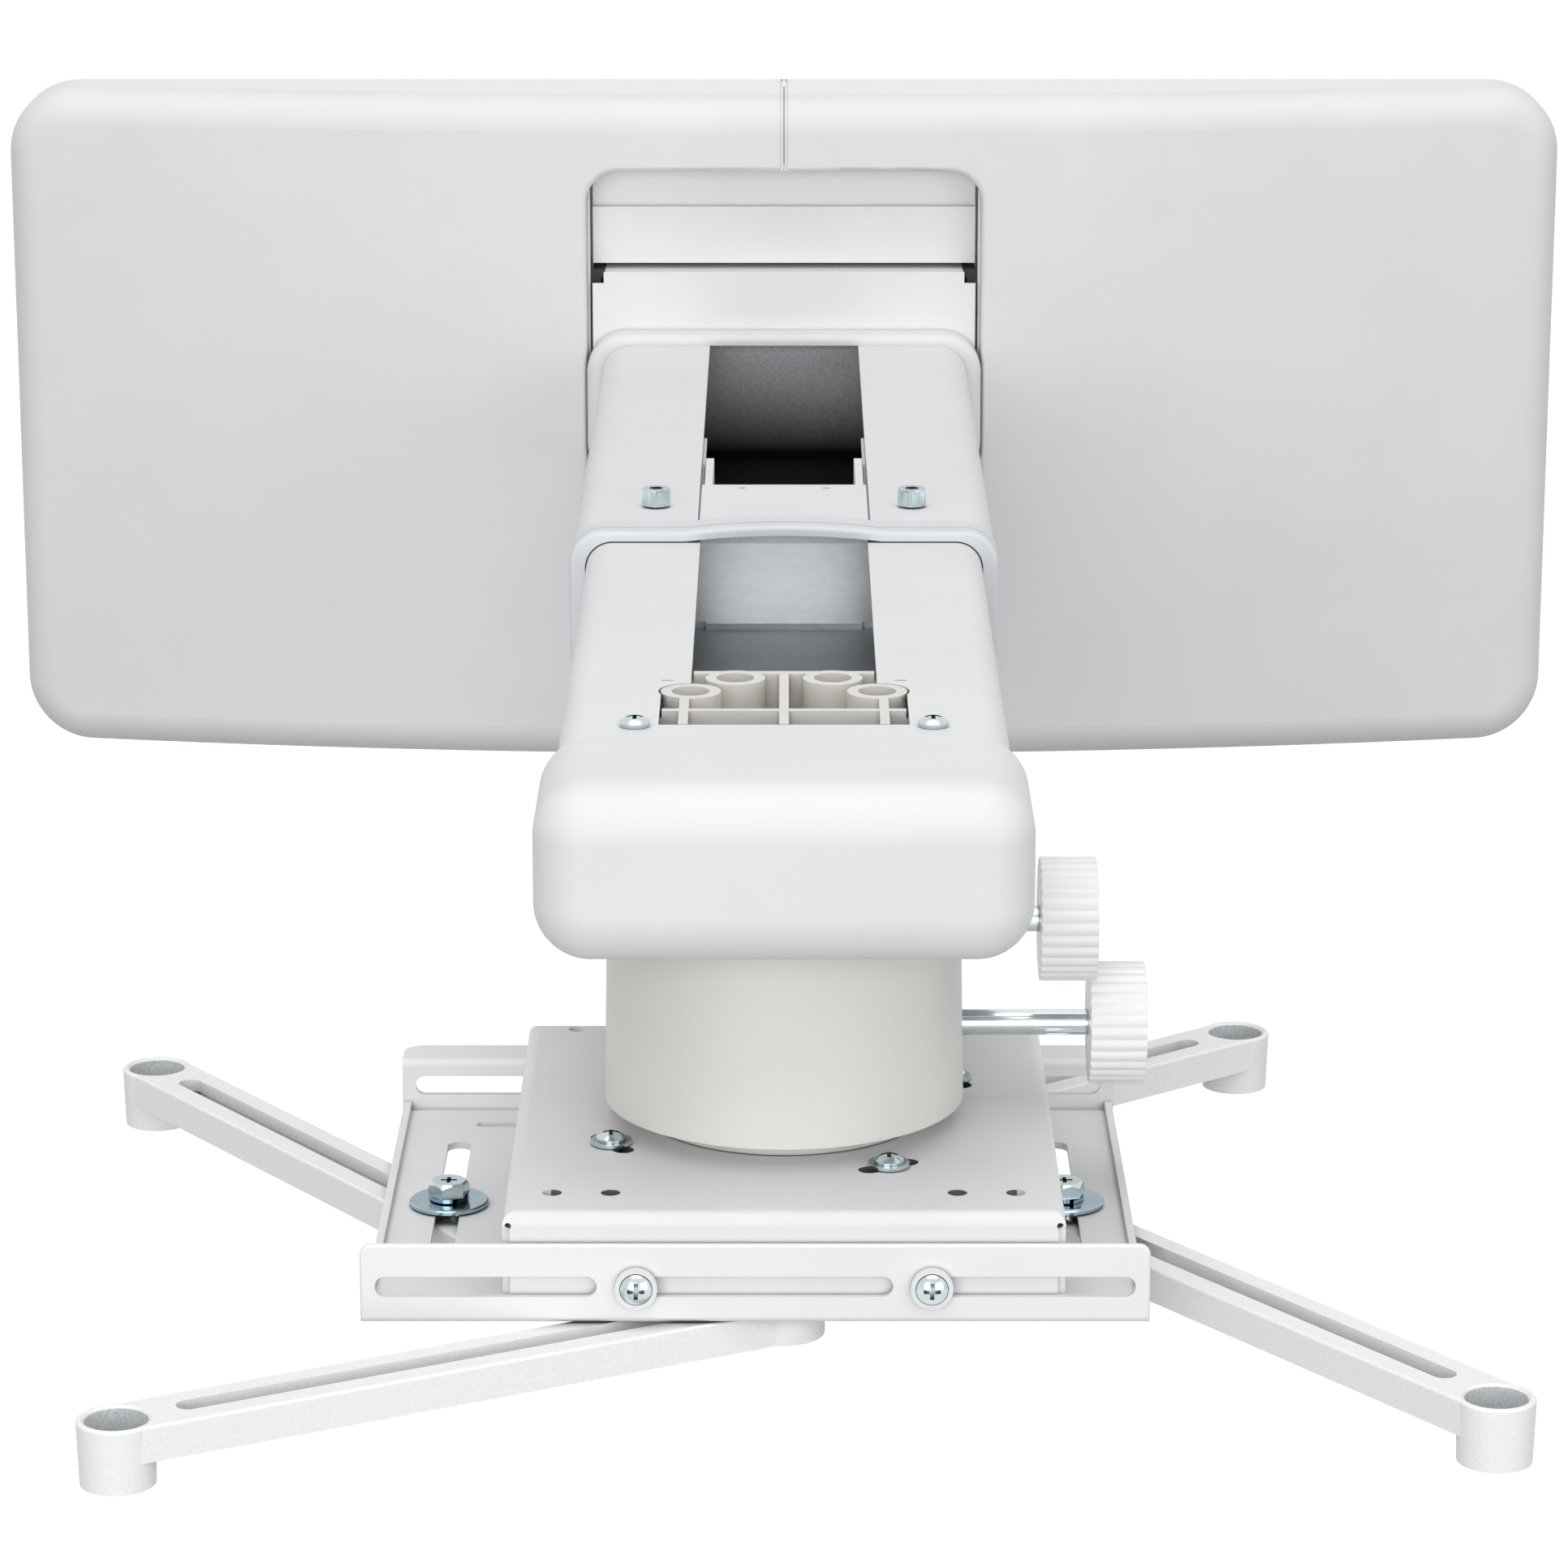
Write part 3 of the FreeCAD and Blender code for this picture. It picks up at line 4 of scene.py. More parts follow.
import bmesh
import bpy
import numpy as np
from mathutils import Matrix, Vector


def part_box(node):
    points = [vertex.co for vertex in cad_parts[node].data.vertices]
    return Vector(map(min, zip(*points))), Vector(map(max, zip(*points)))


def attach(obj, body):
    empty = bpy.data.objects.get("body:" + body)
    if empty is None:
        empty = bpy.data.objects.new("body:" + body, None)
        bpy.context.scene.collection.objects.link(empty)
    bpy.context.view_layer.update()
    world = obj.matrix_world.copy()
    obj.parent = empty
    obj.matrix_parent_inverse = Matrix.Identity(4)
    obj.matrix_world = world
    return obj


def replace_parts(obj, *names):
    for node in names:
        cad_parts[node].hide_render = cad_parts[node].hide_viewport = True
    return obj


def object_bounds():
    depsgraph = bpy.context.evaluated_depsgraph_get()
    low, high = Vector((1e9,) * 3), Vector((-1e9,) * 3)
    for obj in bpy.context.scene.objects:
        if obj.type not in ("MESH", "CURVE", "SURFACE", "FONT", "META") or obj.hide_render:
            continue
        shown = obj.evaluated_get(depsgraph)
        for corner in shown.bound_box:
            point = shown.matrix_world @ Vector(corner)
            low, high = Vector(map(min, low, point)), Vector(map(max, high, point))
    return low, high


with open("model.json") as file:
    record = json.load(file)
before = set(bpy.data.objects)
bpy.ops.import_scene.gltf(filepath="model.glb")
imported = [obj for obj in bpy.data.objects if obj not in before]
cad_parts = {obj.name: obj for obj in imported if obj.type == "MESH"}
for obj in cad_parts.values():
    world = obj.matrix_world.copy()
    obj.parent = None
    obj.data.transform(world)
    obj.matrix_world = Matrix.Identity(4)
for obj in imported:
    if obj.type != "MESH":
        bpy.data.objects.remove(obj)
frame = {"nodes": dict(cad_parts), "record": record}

cad_box = [list(corner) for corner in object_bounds()]

millimetre = 0.001
corners = ("front_left", "front_right", "rear_left", "rear_right")

# Camera of the photograph, worked out in a frame of 1932 x 1932 pixels
photo_side = 1932
photo_focal_pixels = 6900.0
camera_distance = 2.025
camera_height = 0.404
camera_pitch_degrees = 15.13
camera_near = 0.05
camera_far = 100.0
sensor_width = 36.0

# Light: level of the world, and each lamp's name, place, side and power
world_level = 0.56
lamp_aim = (0.0, -0.4, 0.0)
lamps = (
    ("front", (-0.6, -2.7, 0.25), 1.6, 21.5),
    ("side", (1.6, -2.3, 0.2), 1.6, 12.0),
    ("top", (0.0, -0.95, 2.3), 2.2, 22.0),
    ("rear", (0.0, 2.6, 0.1), 1.2, 9.0),
)

# Floor
floor_drop = 0.30
floor_size = 30.0
floor_shade = 0.30
floor_glow = 0.85

# Finishes, as linear colours
powder_white = (0.80, 0.805, 0.81)
# Powder coat made lighter, as painted light, on the hook, the strip and the arm base in the window's recess
lit_base_white = (0.88, 0.885, 0.89)
cover_white = (0.80, 0.805, 0.81)
cap_white = (0.78, 0.782, 0.79)
satin_white = (0.80, 0.80, 0.82)
# Powder coat made lighter on the tray, as painted light
lit_tray_white = (0.86, 0.86, 0.86)
ring_white = (0.71, 0.73, 0.765)
knob_white = (0.86, 0.86, 0.87)
# One cast paint: a lighter copy on the legs as painted light, a darker copy on the drum as painted shade
lit_cast_white = (0.87, 0.868, 0.85)
shaded_drum_white = (0.71, 0.71, 0.68)
cup_grey = (0.64, 0.67, 0.68)
block_beige = (0.75, 0.73, 0.695)
zinc_blue = (0.58, 0.67, 0.70)
rod_zinc = (0.74, 0.80, 0.82)
washer_zinc = (0.38, 0.49, 0.56)
# Painted shade: dark grey on hole walls in the swivel plate and on the arm base's notches
hole_shade_grey = (0.13, 0.13, 0.135)
galvanised_grey = (0.74, 0.78, 0.80)
nylon_white = (0.74, 0.73, 0.69)
# Painted shade: the near-black that the arms' linings fade to at the floor, and the tone at the outer arm's
# top
painted_shade_black = (0.004, 0.004, 0.005)
outer_lining_top_tone = (0.25, 0.25, 0.26)
# Painted light: the lighter steel grey that the outer arm's lining turns to towards its front
painted_light_lining = (0.72, 0.75, 0.77)
# Painted shade: the tone at the top of the lining's fade on the arm base
base_lining_top_tone = (0.88, 0.87, 0.92)
raw_steel = (0.34, 0.375, 0.41)
disc_grey = (0.20, 0.21, 0.22)
full_white = (1.0, 1.0, 1.0)

# Skins: size and depth of the relief, then the roughness where it is smoothest and roughest
powder_skin = (1.2 * millimetre, 0.03 * millimetre, 0.38, 0.46)
cover_skin = (0.5 * millimetre, 0.02 * millimetre, 0.48, 0.58)
satin_skin = (0.6 * millimetre, 0.01 * millimetre, 0.38, 0.46)
collar_skin = (0.6 * millimetre, 0.01 * millimetre, 0.42, 0.50)
knob_skin = (0.6 * millimetre, 0.01 * millimetre, 0.34, 0.42)
nylon_skin = (0.8 * millimetre, 0.01 * millimetre, 0.40, 0.50)
casting_skin = (0.9 * millimetre, 0.06 * millimetre, 0.46, 0.56)
leg_skin = (0.7 * millimetre, 0.05 * millimetre, 0.46, 0.58)
drum_skin = (0.9 * millimetre, 0.03 * millimetre, 0.42, 0.52)
block_skin = (1.0 * millimetre, 0.04 * millimetre, 0.44, 0.56)
disc_skin = (0.8 * millimetre, 0.02 * millimetre, 0.50, 0.60)

# How far the tone of a coat strays to either side
plain_tone = 0.02
casting_tone = 0.03
block_tone = 0.04
bare_cast_tone = 0.05
disc_tone = 0.06

# Noise: size of the soft clouds, the part of its range that is used, its detail and how broken it is
cloud_size = 60.0 * millimetre
noise_low = 0.3
noise_high = 0.7
soft_detail = 2.0
fine_detail = 3.0
sharp_detail = 4.0
soft_break = 0.55
rough_break = 0.6
sandy_break = 0.65

# Plating: drawn marks, small clouds, and the roughness where it is smoothest and roughest
mark_size = 0.6 * millimetre
mark_depth = 0.01 * millimetre
mark_strength = 0.6
plating_cloud = 4.0 * millimetre
plating_tones = (0.94, 1.05)
screw_polish = (0.14, 0.26)
rod_polish = (0.08, 0.16)
washer_polish = (0.10, 0.22)
drawn_along_x = (0.2, 1.0, 1.0)
drawn_upright = (1.0, 1.0, 0.3)

# Galvanised sheet
crystal_size = 4.0 * millimetre
crystal_tones = (0.97, 1.03)
crystal_polish = (0.40, 0.48)
crystal_grain = 1.2 * millimetre
crystal_depth = 0.005 * millimetre

# Folded arms: rounding of their outer edges, how deep inside them the lining starts, and how it looks
outer_arm_rounding = 10.0 * millimetre
inner_arm_rounding = 8.0 * millimetre
lining_depth = 1.5 * millimetre
lining_gloss = 0.12
lining_dark_share = 0.12
lining_grain = 0.6 * millimetre
lining_relief = 0.02 * millimetre
speckle_low = 0.35
speckle_high = 0.65
speckle_darkest = (0.7, 0.7, 0.7)
arm_roughness = 0.42
painted_lining = (0.0, 0.9)     # metal and roughness
steel_lining = (0.9, 0.45)
# Painted light: how far in front of the inner arm's back the lining starts to turn lighter, over what
# length, and its tones
painted_light_reach = 80.0 * millimetre
painted_light_fade = 60.0 * millimetre
painted_light_tones = (0.95, 1.05)
# Painted shade: dark grey on the arm base's notches, how wide, how far behind its front, and its tones
notch_width = 4.5 * millimetre
notch_setback = 0.5 * millimetre
notch_tones = (0.5, 0.7)

# Painted shade in holes and corners: how far around a hole or corner counts, and how dark the coat or
# plating is painted there
coat_reach = 2.2 * millimetre
coat_darkest = 0.45
trim_darkest = 0.8
casting_reach = 9.0 * millimetre
casting_darkest = 0.16
plating_reach = 1.6 * millimetre
plating_darkest = 0.06
darkest_at = 0.25
plain_at = 0.8
hidden_samples = 8

# Legs: tones of the paint, lifted as painted light, and of the uncoated cups
leg_tones = (1.0, 1.1)
cup_tones = (0.8, 1.2)

# Holes in the swivel plate, whose walls get painted shade
sheet_thickness = 2.5 * millimetre
plate_bend = 12.0 * millimetre
hole_edge = 0.15 * millimetre
hole_tones = (0.8, 1.2)

# Meshes
merge_distance = 0.0001 * millimetre
crisp_degrees = 38.0

# Strip that closes the window above the hook, and lips at the window's sides
strip_height = 20.0 * millimetre
strip_thickness = 1.5 * millimetre
strip_overlap = 4.0 * millimetre
lip_width = 1.3 * millimetre
lip_seat = 0.1 * millimetre
lip_setback = 1.0 * millimetre
lip_thickness = 3.0 * millimetre
lip_rise = 7.0 * millimetre
bar_squareness = 14.0
bar_columns = 96

# Knobs
knob_flutes = 30
knob_flute_depth = 0.6 * millimetre
knob_rim = 0.4 * millimetre
knob_rim_points = 5
knob_dish_margin = 1.6 * millimetre
knob_dish_depth = 1.2 * millimetre
columns_per_flute = 12

# Socket-head screws
socket_head_height = 5.3 * millimetre
knurl_ribs = 36
knurl_height = 0.16 * millimetre
knurl_margin = 0.6 * millimetre
columns_per_rib = 6

# Washers under the leg bolts
bolt_radius = 3.0 * millimetre
wide_washer_thickness = 1.4 * millimetre
wide_washer_rounding = 0.3 * millimetre
wide_washer_columns = 96
split_washer_radius = 5.3 * millimetre
split_washer_thickness = 1.5 * millimetre
split_washer_rise = 0.4 * millimetre
split_washer_gap_degrees = 14.0
split_washer_turn_degrees = -70.0
split_washer_steps = 72


# Node material helpers

def new_material(name):
    """Empty node material with a shader and an Object coordinate source."""
    material = bpy.data.materials.new(name)
    material.use_nodes = True
    tree = material.node_tree
    shader = tree.nodes["Principled BSDF"]
    place = tree.nodes.new("ShaderNodeTexCoord")
    return material, tree, shader, place.outputs["Object"]


def noise(tree, where, feature, detail, broken):
    """Noise whose features are about one length across, in metres."""
    node = tree.nodes.new("ShaderNodeTexNoise")
    node.inputs["Scale"].default_value = 1.0 / feature
    node.inputs["Detail"].default_value = detail
    node.inputs["Roughness"].default_value = broken
    tree.links.new(where, node.inputs["Vector"])
    return node.outputs["Fac"]


def soft_clouds(tree, where, feature=cloud_size):
    """Broad, smooth noise."""
    return noise(tree, where, feature, soft_detail, soft_break)


def ramp(tree, value, low, high, low_color, high_color):
    """Colour that runs from one tone to another as a value goes from low to high."""
    node = tree.nodes.new("ShaderNodeValToRGB")
    node.color_ramp.elements[0].position = low
    node.color_ramp.elements[0].color = (*low_color, 1)
    node.color_ramp.elements[1].position = high
    node.color_ramp.elements[1].color = (*high_color, 1)
    tree.links.new(value, node.inputs["Fac"])
    return node.outputs["Color"]


def shaded(color, factor):
    """The same colour, lighter or darker."""
    return tuple(min(1.0, c * factor) for c in color)


def toned(tree, pattern, color, tones):
    """A colour that a noise pattern makes darker and lighter, between two factors."""
    return ramp(tree, pattern, noise_low, noise_high, shaded(color, tones[0]), shaded(color, tones[1]))


def span(tree, value, low, high, start=0.0, end=1.0):
    """Number that goes from low to high while a value goes from start to end."""
    node = tree.nodes.new("ShaderNodeMapRange")
    node.inputs["From Min"].default_value = start
    node.inputs["From Max"].default_value = end
    node.inputs["To Min"].default_value = low
    node.inputs["To Max"].default_value = high
    tree.links.new(value, node.inputs["Value"])
    return node.outputs["Result"]


def bump(tree, shader, height, depth, strength=1.0):
    """Surface relief of a given depth in metres."""
    node = tree.nodes.new("ShaderNodeBump")
    node.inputs["Distance"].default_value = depth
    node.inputs["Strength"].default_value = strength
    tree.links.new(height, node.inputs["Height"])
    tree.links.new(node.outputs["Normal"], shader.inputs["Normal"])


def mapped(tree, where, scale, shift=(0.0, 0.0, 0.0)):
    """Object coordinates scaled along the axes and then shifted."""
    node = tree.nodes.new("ShaderNodeMapping")
    node.inputs["Location"].default_value = shift
    node.inputs["Scale"].default_value = scale
    tree.links.new(where, node.inputs["Vector"])
    return node.outputs["Vector"]


def along_axes(tree, where):
    """The X, Y and Z of a place, as sockets by name."""
    node = tree.nodes.new("ShaderNodeSeparateXYZ")
    tree.links.new(where, node.inputs["Vector"])
    return node.outputs


def reckoned(tree, value, step, other=0.0):
    """One step of arithmetic on a value, with a second one that is a number or a socket."""
    node = tree.nodes.new("ShaderNodeMath")
    node.operation = step
    tree.links.new(value, node.inputs[0])
    if isinstance(other, bpy.types.NodeSocket):
        tree.links.new(other, node.inputs[1])
    else:
        node.inputs[1].default_value = other
    return node.outputs["Value"]


def within(tree, value, low, high):
    """1 where a value lies between two limits, else 0."""
    above = reckoned(tree, value, "GREATER_THAN", low)
    below = reckoned(tree, value, "LESS_THAN", high)
    return reckoned(tree, above, "MULTIPLY", below)


def mixed(tree, factor, first, second, blend="MIX"):
    """Two colours mixed by a factor, which is a number or a socket."""
    node = tree.nodes.new("ShaderNodeMix")
    node.data_type = "RGBA"
    node.blend_type = blend
    if isinstance(factor, bpy.types.NodeSocket):
        tree.links.new(factor, node.inputs["Factor"])
    else:
        node.inputs["Factor"].default_value = factor
    tree.links.new(first, node.inputs["A"])
    tree.links.new(second, node.inputs["B"])
    return node.outputs["Result"]


def painted_hollow_shade(tree, color, reach, darkest):
    """A colour darkened by painted shade in holes and corners: the more of the open side within a reach is
    hidden, the darker it gets."""
    hidden = tree.nodes.new("ShaderNodeAmbientOcclusion")
    hidden.samples = hidden_samples
    hidden.inputs["Distance"].default_value = reach
    tone = ramp(tree, hidden.outputs["AO"], darkest_at, plain_at, shaded(full_white, darkest), full_white)
    return mixed(tree, 1.0, color, tone, "MULTIPLY")


def coat(tree, clouds, color, tone=plain_tone, darkest=coat_darkest):
    """Colour of a coat: soft clouds of tone, with painted shade in holes and corners."""
    tint = toned(tree, clouds, color, (1 - tone, 1 + tone))
    return painted_hollow_shade(tree, tint, coat_reach, darkest)


# Finishes

def coated(name, color, skin, tone=plain_tone, darkest=coat_darkest):
    """Painted or moulded surface: soft clouds of tone, painted shade in holes and corners, fine skin relief,
    uneven gloss.
    """
    material, tree, shader, where = new_material(name)
    relief_size, relief_depth, smoothest, roughest = skin
    clouds = soft_clouds(tree, where)
    tree.links.new(coat(tree, clouds, color, tone, darkest), shader.inputs["Base Color"])
    tree.links.new(span(tree, clouds, smoothest, roughest), shader.inputs["Roughness"])
    bump(tree, shader, noise(tree, where, relief_size, soft_detail, rough_break), relief_depth)
    return material


def plated(name, color, polish, drawn):
    """Bright plated metal with drawn marks along one axis, and painted shade in its recesses."""
    material, tree, shader, where = new_material(name)
    marks = noise(tree, mapped(tree, where, drawn), mark_size, sharp_detail, rough_break)
    tint = toned(tree, soft_clouds(tree, where, plating_cloud), color, plating_tones)
    shader.inputs["Metallic"].default_value = 1.0
    tree.links.new(painted_hollow_shade(tree, tint, plating_reach, plating_darkest), shader.inputs["Base Color"])
    tree.links.new(span(tree, marks, *polish), shader.inputs["Roughness"])
    bump(tree, shader, marks, mark_depth, mark_strength)
    return material


def spangled(name, color):
    """Galvanised sheet: zinc crystals as cells of slightly different tone and gloss."""
    material, tree, shader, where = new_material(name)
    cells = tree.nodes.new("ShaderNodeTexVoronoi")
    cells.inputs["Scale"].default_value = 1.0 / crystal_size
    tree.links.new(where, cells.inputs["Vector"])
    draws = tree.nodes.new("ShaderNodeSeparateColor")
    tree.links.new(cells.outputs["Color"], draws.inputs["Color"])
    darker, lighter = [shaded(color, factor) for factor in crystal_tones]
    shader.inputs["Metallic"].default_value = 1.0
    tree.links.new(ramp(tree, draws.outputs["Red"], 0.0, 1.0, darker, lighter), shader.inputs["Base Color"])
    tree.links.new(span(tree, draws.outputs["Green"], *crystal_polish), shader.inputs["Roughness"])
    bump(tree, shader, noise(tree, where, crystal_grain, fine_detail, soft_break), crystal_depth)
    return material


def inside_rounded(tree, where, low, high, rounding, depth):
    """1 where a point lies deeper than a depth inside a rounded rectangle seen along Y, else 0.
    The distance to the outline is |max(q, 0)| + min(max(qx, qz), 0) - r, where q is the offset from the
    rectangle that is smaller by the rounding r."""
    place = along_axes(tree, where)
    offsets = []
    for axis, source in ((0, "X"), (2, "Z")):
        middle = (low[axis] + high[axis]) / 2
        half = (high[axis] - low[axis]) / 2
        away = reckoned(tree, reckoned(tree, place[source], "SUBTRACT", middle), "ABSOLUTE")
        offsets.append(reckoned(tree, away, "SUBTRACT", half - rounding))
    across, upward = offsets
    squares = [reckoned(tree, reckoned(tree, q, "MAXIMUM", 0.0), "POWER", 2.0) for q in offsets]
    round_part = reckoned(tree, reckoned(tree, squares[0], "ADD", squares[1]), "SQRT")
    flat_part = reckoned(tree, reckoned(tree, across, "MAXIMUM", upward), "MINIMUM", 0.0)
    distance = reckoned(tree, round_part, "ADD", flat_part)
    return reckoned(tree, distance, "LESS_THAN", rounding - depth)


def lined(node, arm, rounding, floor_color, top_color, lining, coat_color=powder_white,
          painted_light_from=None, shaded_behind=None):
    """Powder coat on a folded sheet, with painted shade in holes and corners, and a speckled lining on the
    faces that lie inside an arm's outline: its colour fades darker from the arm's top to the arm's floor, as
    painted shade.
    From a place along Y to the arm's front, the lining turns lighter, as painted light.
    What lies behind a place along Y near the two sides gets dark grey, as painted shade in the gaps at the
    notches."""
    material, tree, shader, where = new_material(node + "_coat")
    metal, lining_roughness = lining
    low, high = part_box(arm)
    place = along_axes(tree, where)
    mask = inside_rounded(tree, where, low, high, rounding, lining_depth)
    clouds = soft_clouds(tree, where)
    grain = noise(tree, where, lining_grain, fine_detail, rough_break)
    height = span(tree, place["Z"], 0.0, 1.0, low[2], high[2])
    # Painted shade: the lining fades darker from the arm's top to its floor
    fade = ramp(tree, height, lining_dark_share, 1.0, floor_color, top_color)
    # Painted light: from a place along Y to the arm's front, the lining turns lighter
    if painted_light_from is not None:
        lit_lining = toned(tree, clouds, painted_light_lining, painted_light_tones)
        lit_share = span(tree, place["Y"], 0.0, 1.0, painted_light_from, painted_light_from - painted_light_fade)
        fade = mixed(tree, lit_share, fade, lit_lining)
    speckle = ramp(tree, grain, speckle_low, speckle_high, speckle_darkest, full_white)
    inside = mixed(tree, 1.0, fade, speckle, "MULTIPLY")
    color = mixed(tree, mask, coat(tree, clouds, coat_color), inside)
    # Painted shade: dark grey on what lies behind the front near the two sides, in the gaps at the notches
    if shaded_behind is not None:
        behind = reckoned(tree, place["Y"], "GREATER_THAN", shaded_behind)
        sideways = reckoned(tree, place["X"], "ABSOLUTE")
        outermost = reckoned(tree, sideways, "GREATER_THAN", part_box(node)[1][0] - notch_width)
        in_notch = reckoned(tree, behind, "MULTIPLY", outermost)
        color = mixed(tree, in_notch, color, toned(tree, clouds, hole_shade_grey, notch_tones))
    tree.links.new(color, shader.inputs["Base Color"])
    shader.inputs["Specular IOR Level"].default_value = lining_gloss
    tree.links.new(span(tree, mask, arm_roughness, lining_roughness), shader.inputs["Roughness"])
    if metal > 0.0:
        tree.links.new(span(tree, mask, 0.0, metal), shader.inputs["Metallic"])
    bump(tree, shader, grain, lining_relief)
    return material


def coat_with_shaded_holes(node, margin):
    """Powder coat with painted shade in holes and corners, and dark grey painted shade on the walls of the
    holes
    and slots: the faces between a flat sheet's top and underside, away from its bent edges."""
    material, tree, shader, where = new_material(node + "_coat")
    relief_size, relief_depth, smoothest, roughest = powder_skin
    low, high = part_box(node)
    place = along_axes(tree, where)
    # Painted shade: dark grey on the walls of the holes and slots
    wall = within(tree, place["Z"], high[2] - sheet_thickness + hole_edge, high[2] - hole_edge)
    across = within(tree, place["X"], low[0] + margin, high[0] - margin)
    along = within(tree, place["Y"], low[1] + margin, high[1] - margin)
    mask = reckoned(tree, reckoned(tree, wall, "MULTIPLY", across), "MULTIPLY", along)
    clouds = soft_clouds(tree, where)
    hole_shade = toned(tree, clouds, hole_shade_grey, hole_tones)
    tree.links.new(mixed(tree, mask, coat(tree, clouds, powder_white), hole_shade), shader.inputs["Base Color"])
    tree.links.new(span(tree, clouds, smoothest, roughest), shader.inputs["Roughness"])
    bump(tree, shader, noise(tree, where, relief_size, soft_detail, rough_break), relief_depth)
    return material


def cast_leg(corner):
    """Sand-cast leg: grainy paint with painted shade in the slot and corners, and an uncoated machined cup
    at the foot, which is all that lies within the cup's radius of its axis."""
    material, tree, shader, where = new_material("leg_casting_" + corner)
    relief_size, relief_depth, smoothest, roughest = leg_skin
    cup = next(mount for mount in frame["record"]["mounts"] if mount["name"] == "foot_cup_" + corner)
    cup_radius = cup["dims"]["r_mm"] * millimetre + hole_edge
    away = tree.nodes.new("ShaderNodeVectorMath")
    away.operation = "LENGTH"
    flat_offset = mapped(tree, where, (1.0, 1.0, 0.0), (-cup["pos_m"][0], -cup["pos_m"][1], 0.0))
    tree.links.new(flat_offset, away.inputs[0])
    in_cup = reckoned(tree, away.outputs["Value"], "LESS_THAN", cup_radius)
    grain = noise(tree, where, relief_size, fine_detail, sandy_break)
    # Painted shade in the slot and corners, on paint whose tones are lifted as painted light
    paint = painted_hollow_shade(tree, toned(tree, grain, lit_cast_white, leg_tones), casting_reach, casting_darkest)
    machined = toned(tree, grain, cup_grey, cup_tones)
    tree.links.new(mixed(tree, in_cup, paint, machined), shader.inputs["Base Color"])
    tree.links.new(span(tree, grain, smoothest, roughest), shader.inputs["Roughness"])
    bump(tree, shader, grain, relief_depth)
    return material


finishes = {
    "white_sheet": coated("white_powder_coat", powder_white, powder_skin),
    "cover_plastic": coated("cover_plastic", cover_white, cover_skin),
    "soft_white_plastic": coated("satin_plastic", satin_white, satin_skin),
    "knob_plastic": coated("knob_plastic", knob_white, knob_skin),
    "cast_grey": coated("painted_casting", lit_cast_white, casting_skin, casting_tone),
    "bare_cast": coated("beige_casting", block_beige, block_skin, bare_cast_tone),
    "zinc": plated("bright_zinc", zinc_blue, screw_polish, drawn_along_x),
    "galvanised": spangled("galvanised_sheet", galvanised_grey),
    "pad_plastic": coated("natural_nylon", nylon_white, nylon_skin),
}
# Lighter copy of the powder coat, as painted light, on the hook and the strip in the window's recess
lit_hook_finish = coated("hook_lit_powder_coat", lit_base_white, powder_skin)
rod_finish = plated("polished_rod", rod_zinc, rod_polish, drawn_along_x)
washer_finish = plated("blue_zinc_washer", washer_zinc, washer_polish, drawn_upright)


def dress_nodes():
    """Gives every solid the finish of its material slot, and some solids a finish of their own."""
    for part in frame["record"]["subparts"]:
        solid = frame["nodes"][part["node"]]
        solid.data.materials.clear()
        solid.data.materials.append(finishes[part["material_slot"]])
    base_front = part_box("arm_base")[0][1]
    inner_arm_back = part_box("inner_arm")[1][1]
    own_finishes = {
        # Arm base: lighter coat as painted light, painted shade inside the outer arm's outline and dark grey
        # painted shade at its notches
        "arm_base": lined("arm_base", "outer_arm", outer_arm_rounding, painted_shade_black, base_lining_top_tone,
                          painted_lining, lit_base_white, shaded_behind=base_front + notch_setback),
        # Outer arm: painted shade in its lining towards the floor, and painted light towards its front
        "outer_arm": lined("outer_arm", "outer_arm", outer_arm_rounding, painted_shade_black, outer_lining_top_tone,
                           painted_lining, painted_light_from=inner_arm_back + painted_light_reach),
        "inner_arm": lined("inner_arm", "inner_arm", inner_arm_rounding, raw_steel, raw_steel, steel_lining),
        "hook_bracket": lit_hook_finish,
        "trim_ring": coated("ring_plastic", ring_white, satin_skin, darkest=trim_darkest),
        "base_collar": coated("collar_plastic", powder_white, collar_skin, darkest=trim_darkest),
        "head_block": coated("beige_block", block_beige, block_skin, block_tone),
        # Tray: lighter powder coat, as painted light
        "tray": coated("tray_powder_coat", lit_tray_white, powder_skin),
        # Swivel plate: painted shade on the walls of its holes and slots
        "swivel_plate": coat_with_shaded_holes("swivel_plate", plate_bend),
        "front_cap": coated("cap_plastic", cap_white, cover_skin),
        "roll_rod": rod_finish,
        "pitch_rod": rod_finish,
        # Drum: darker copy of the cast paint, as painted shade
        "drum": coated("painted_drum", shaded_drum_white, drum_skin),
        "swivel_disc": coated("disc_phosphate", disc_grey, disc_skin, disc_tone),
    }
    for corner in corners:
        own_finishes["leg_" + corner] = cast_leg(corner)
    for node, material in own_finishes.items():
        frame["nodes"][node].data.materials[0] = material


# Pieces

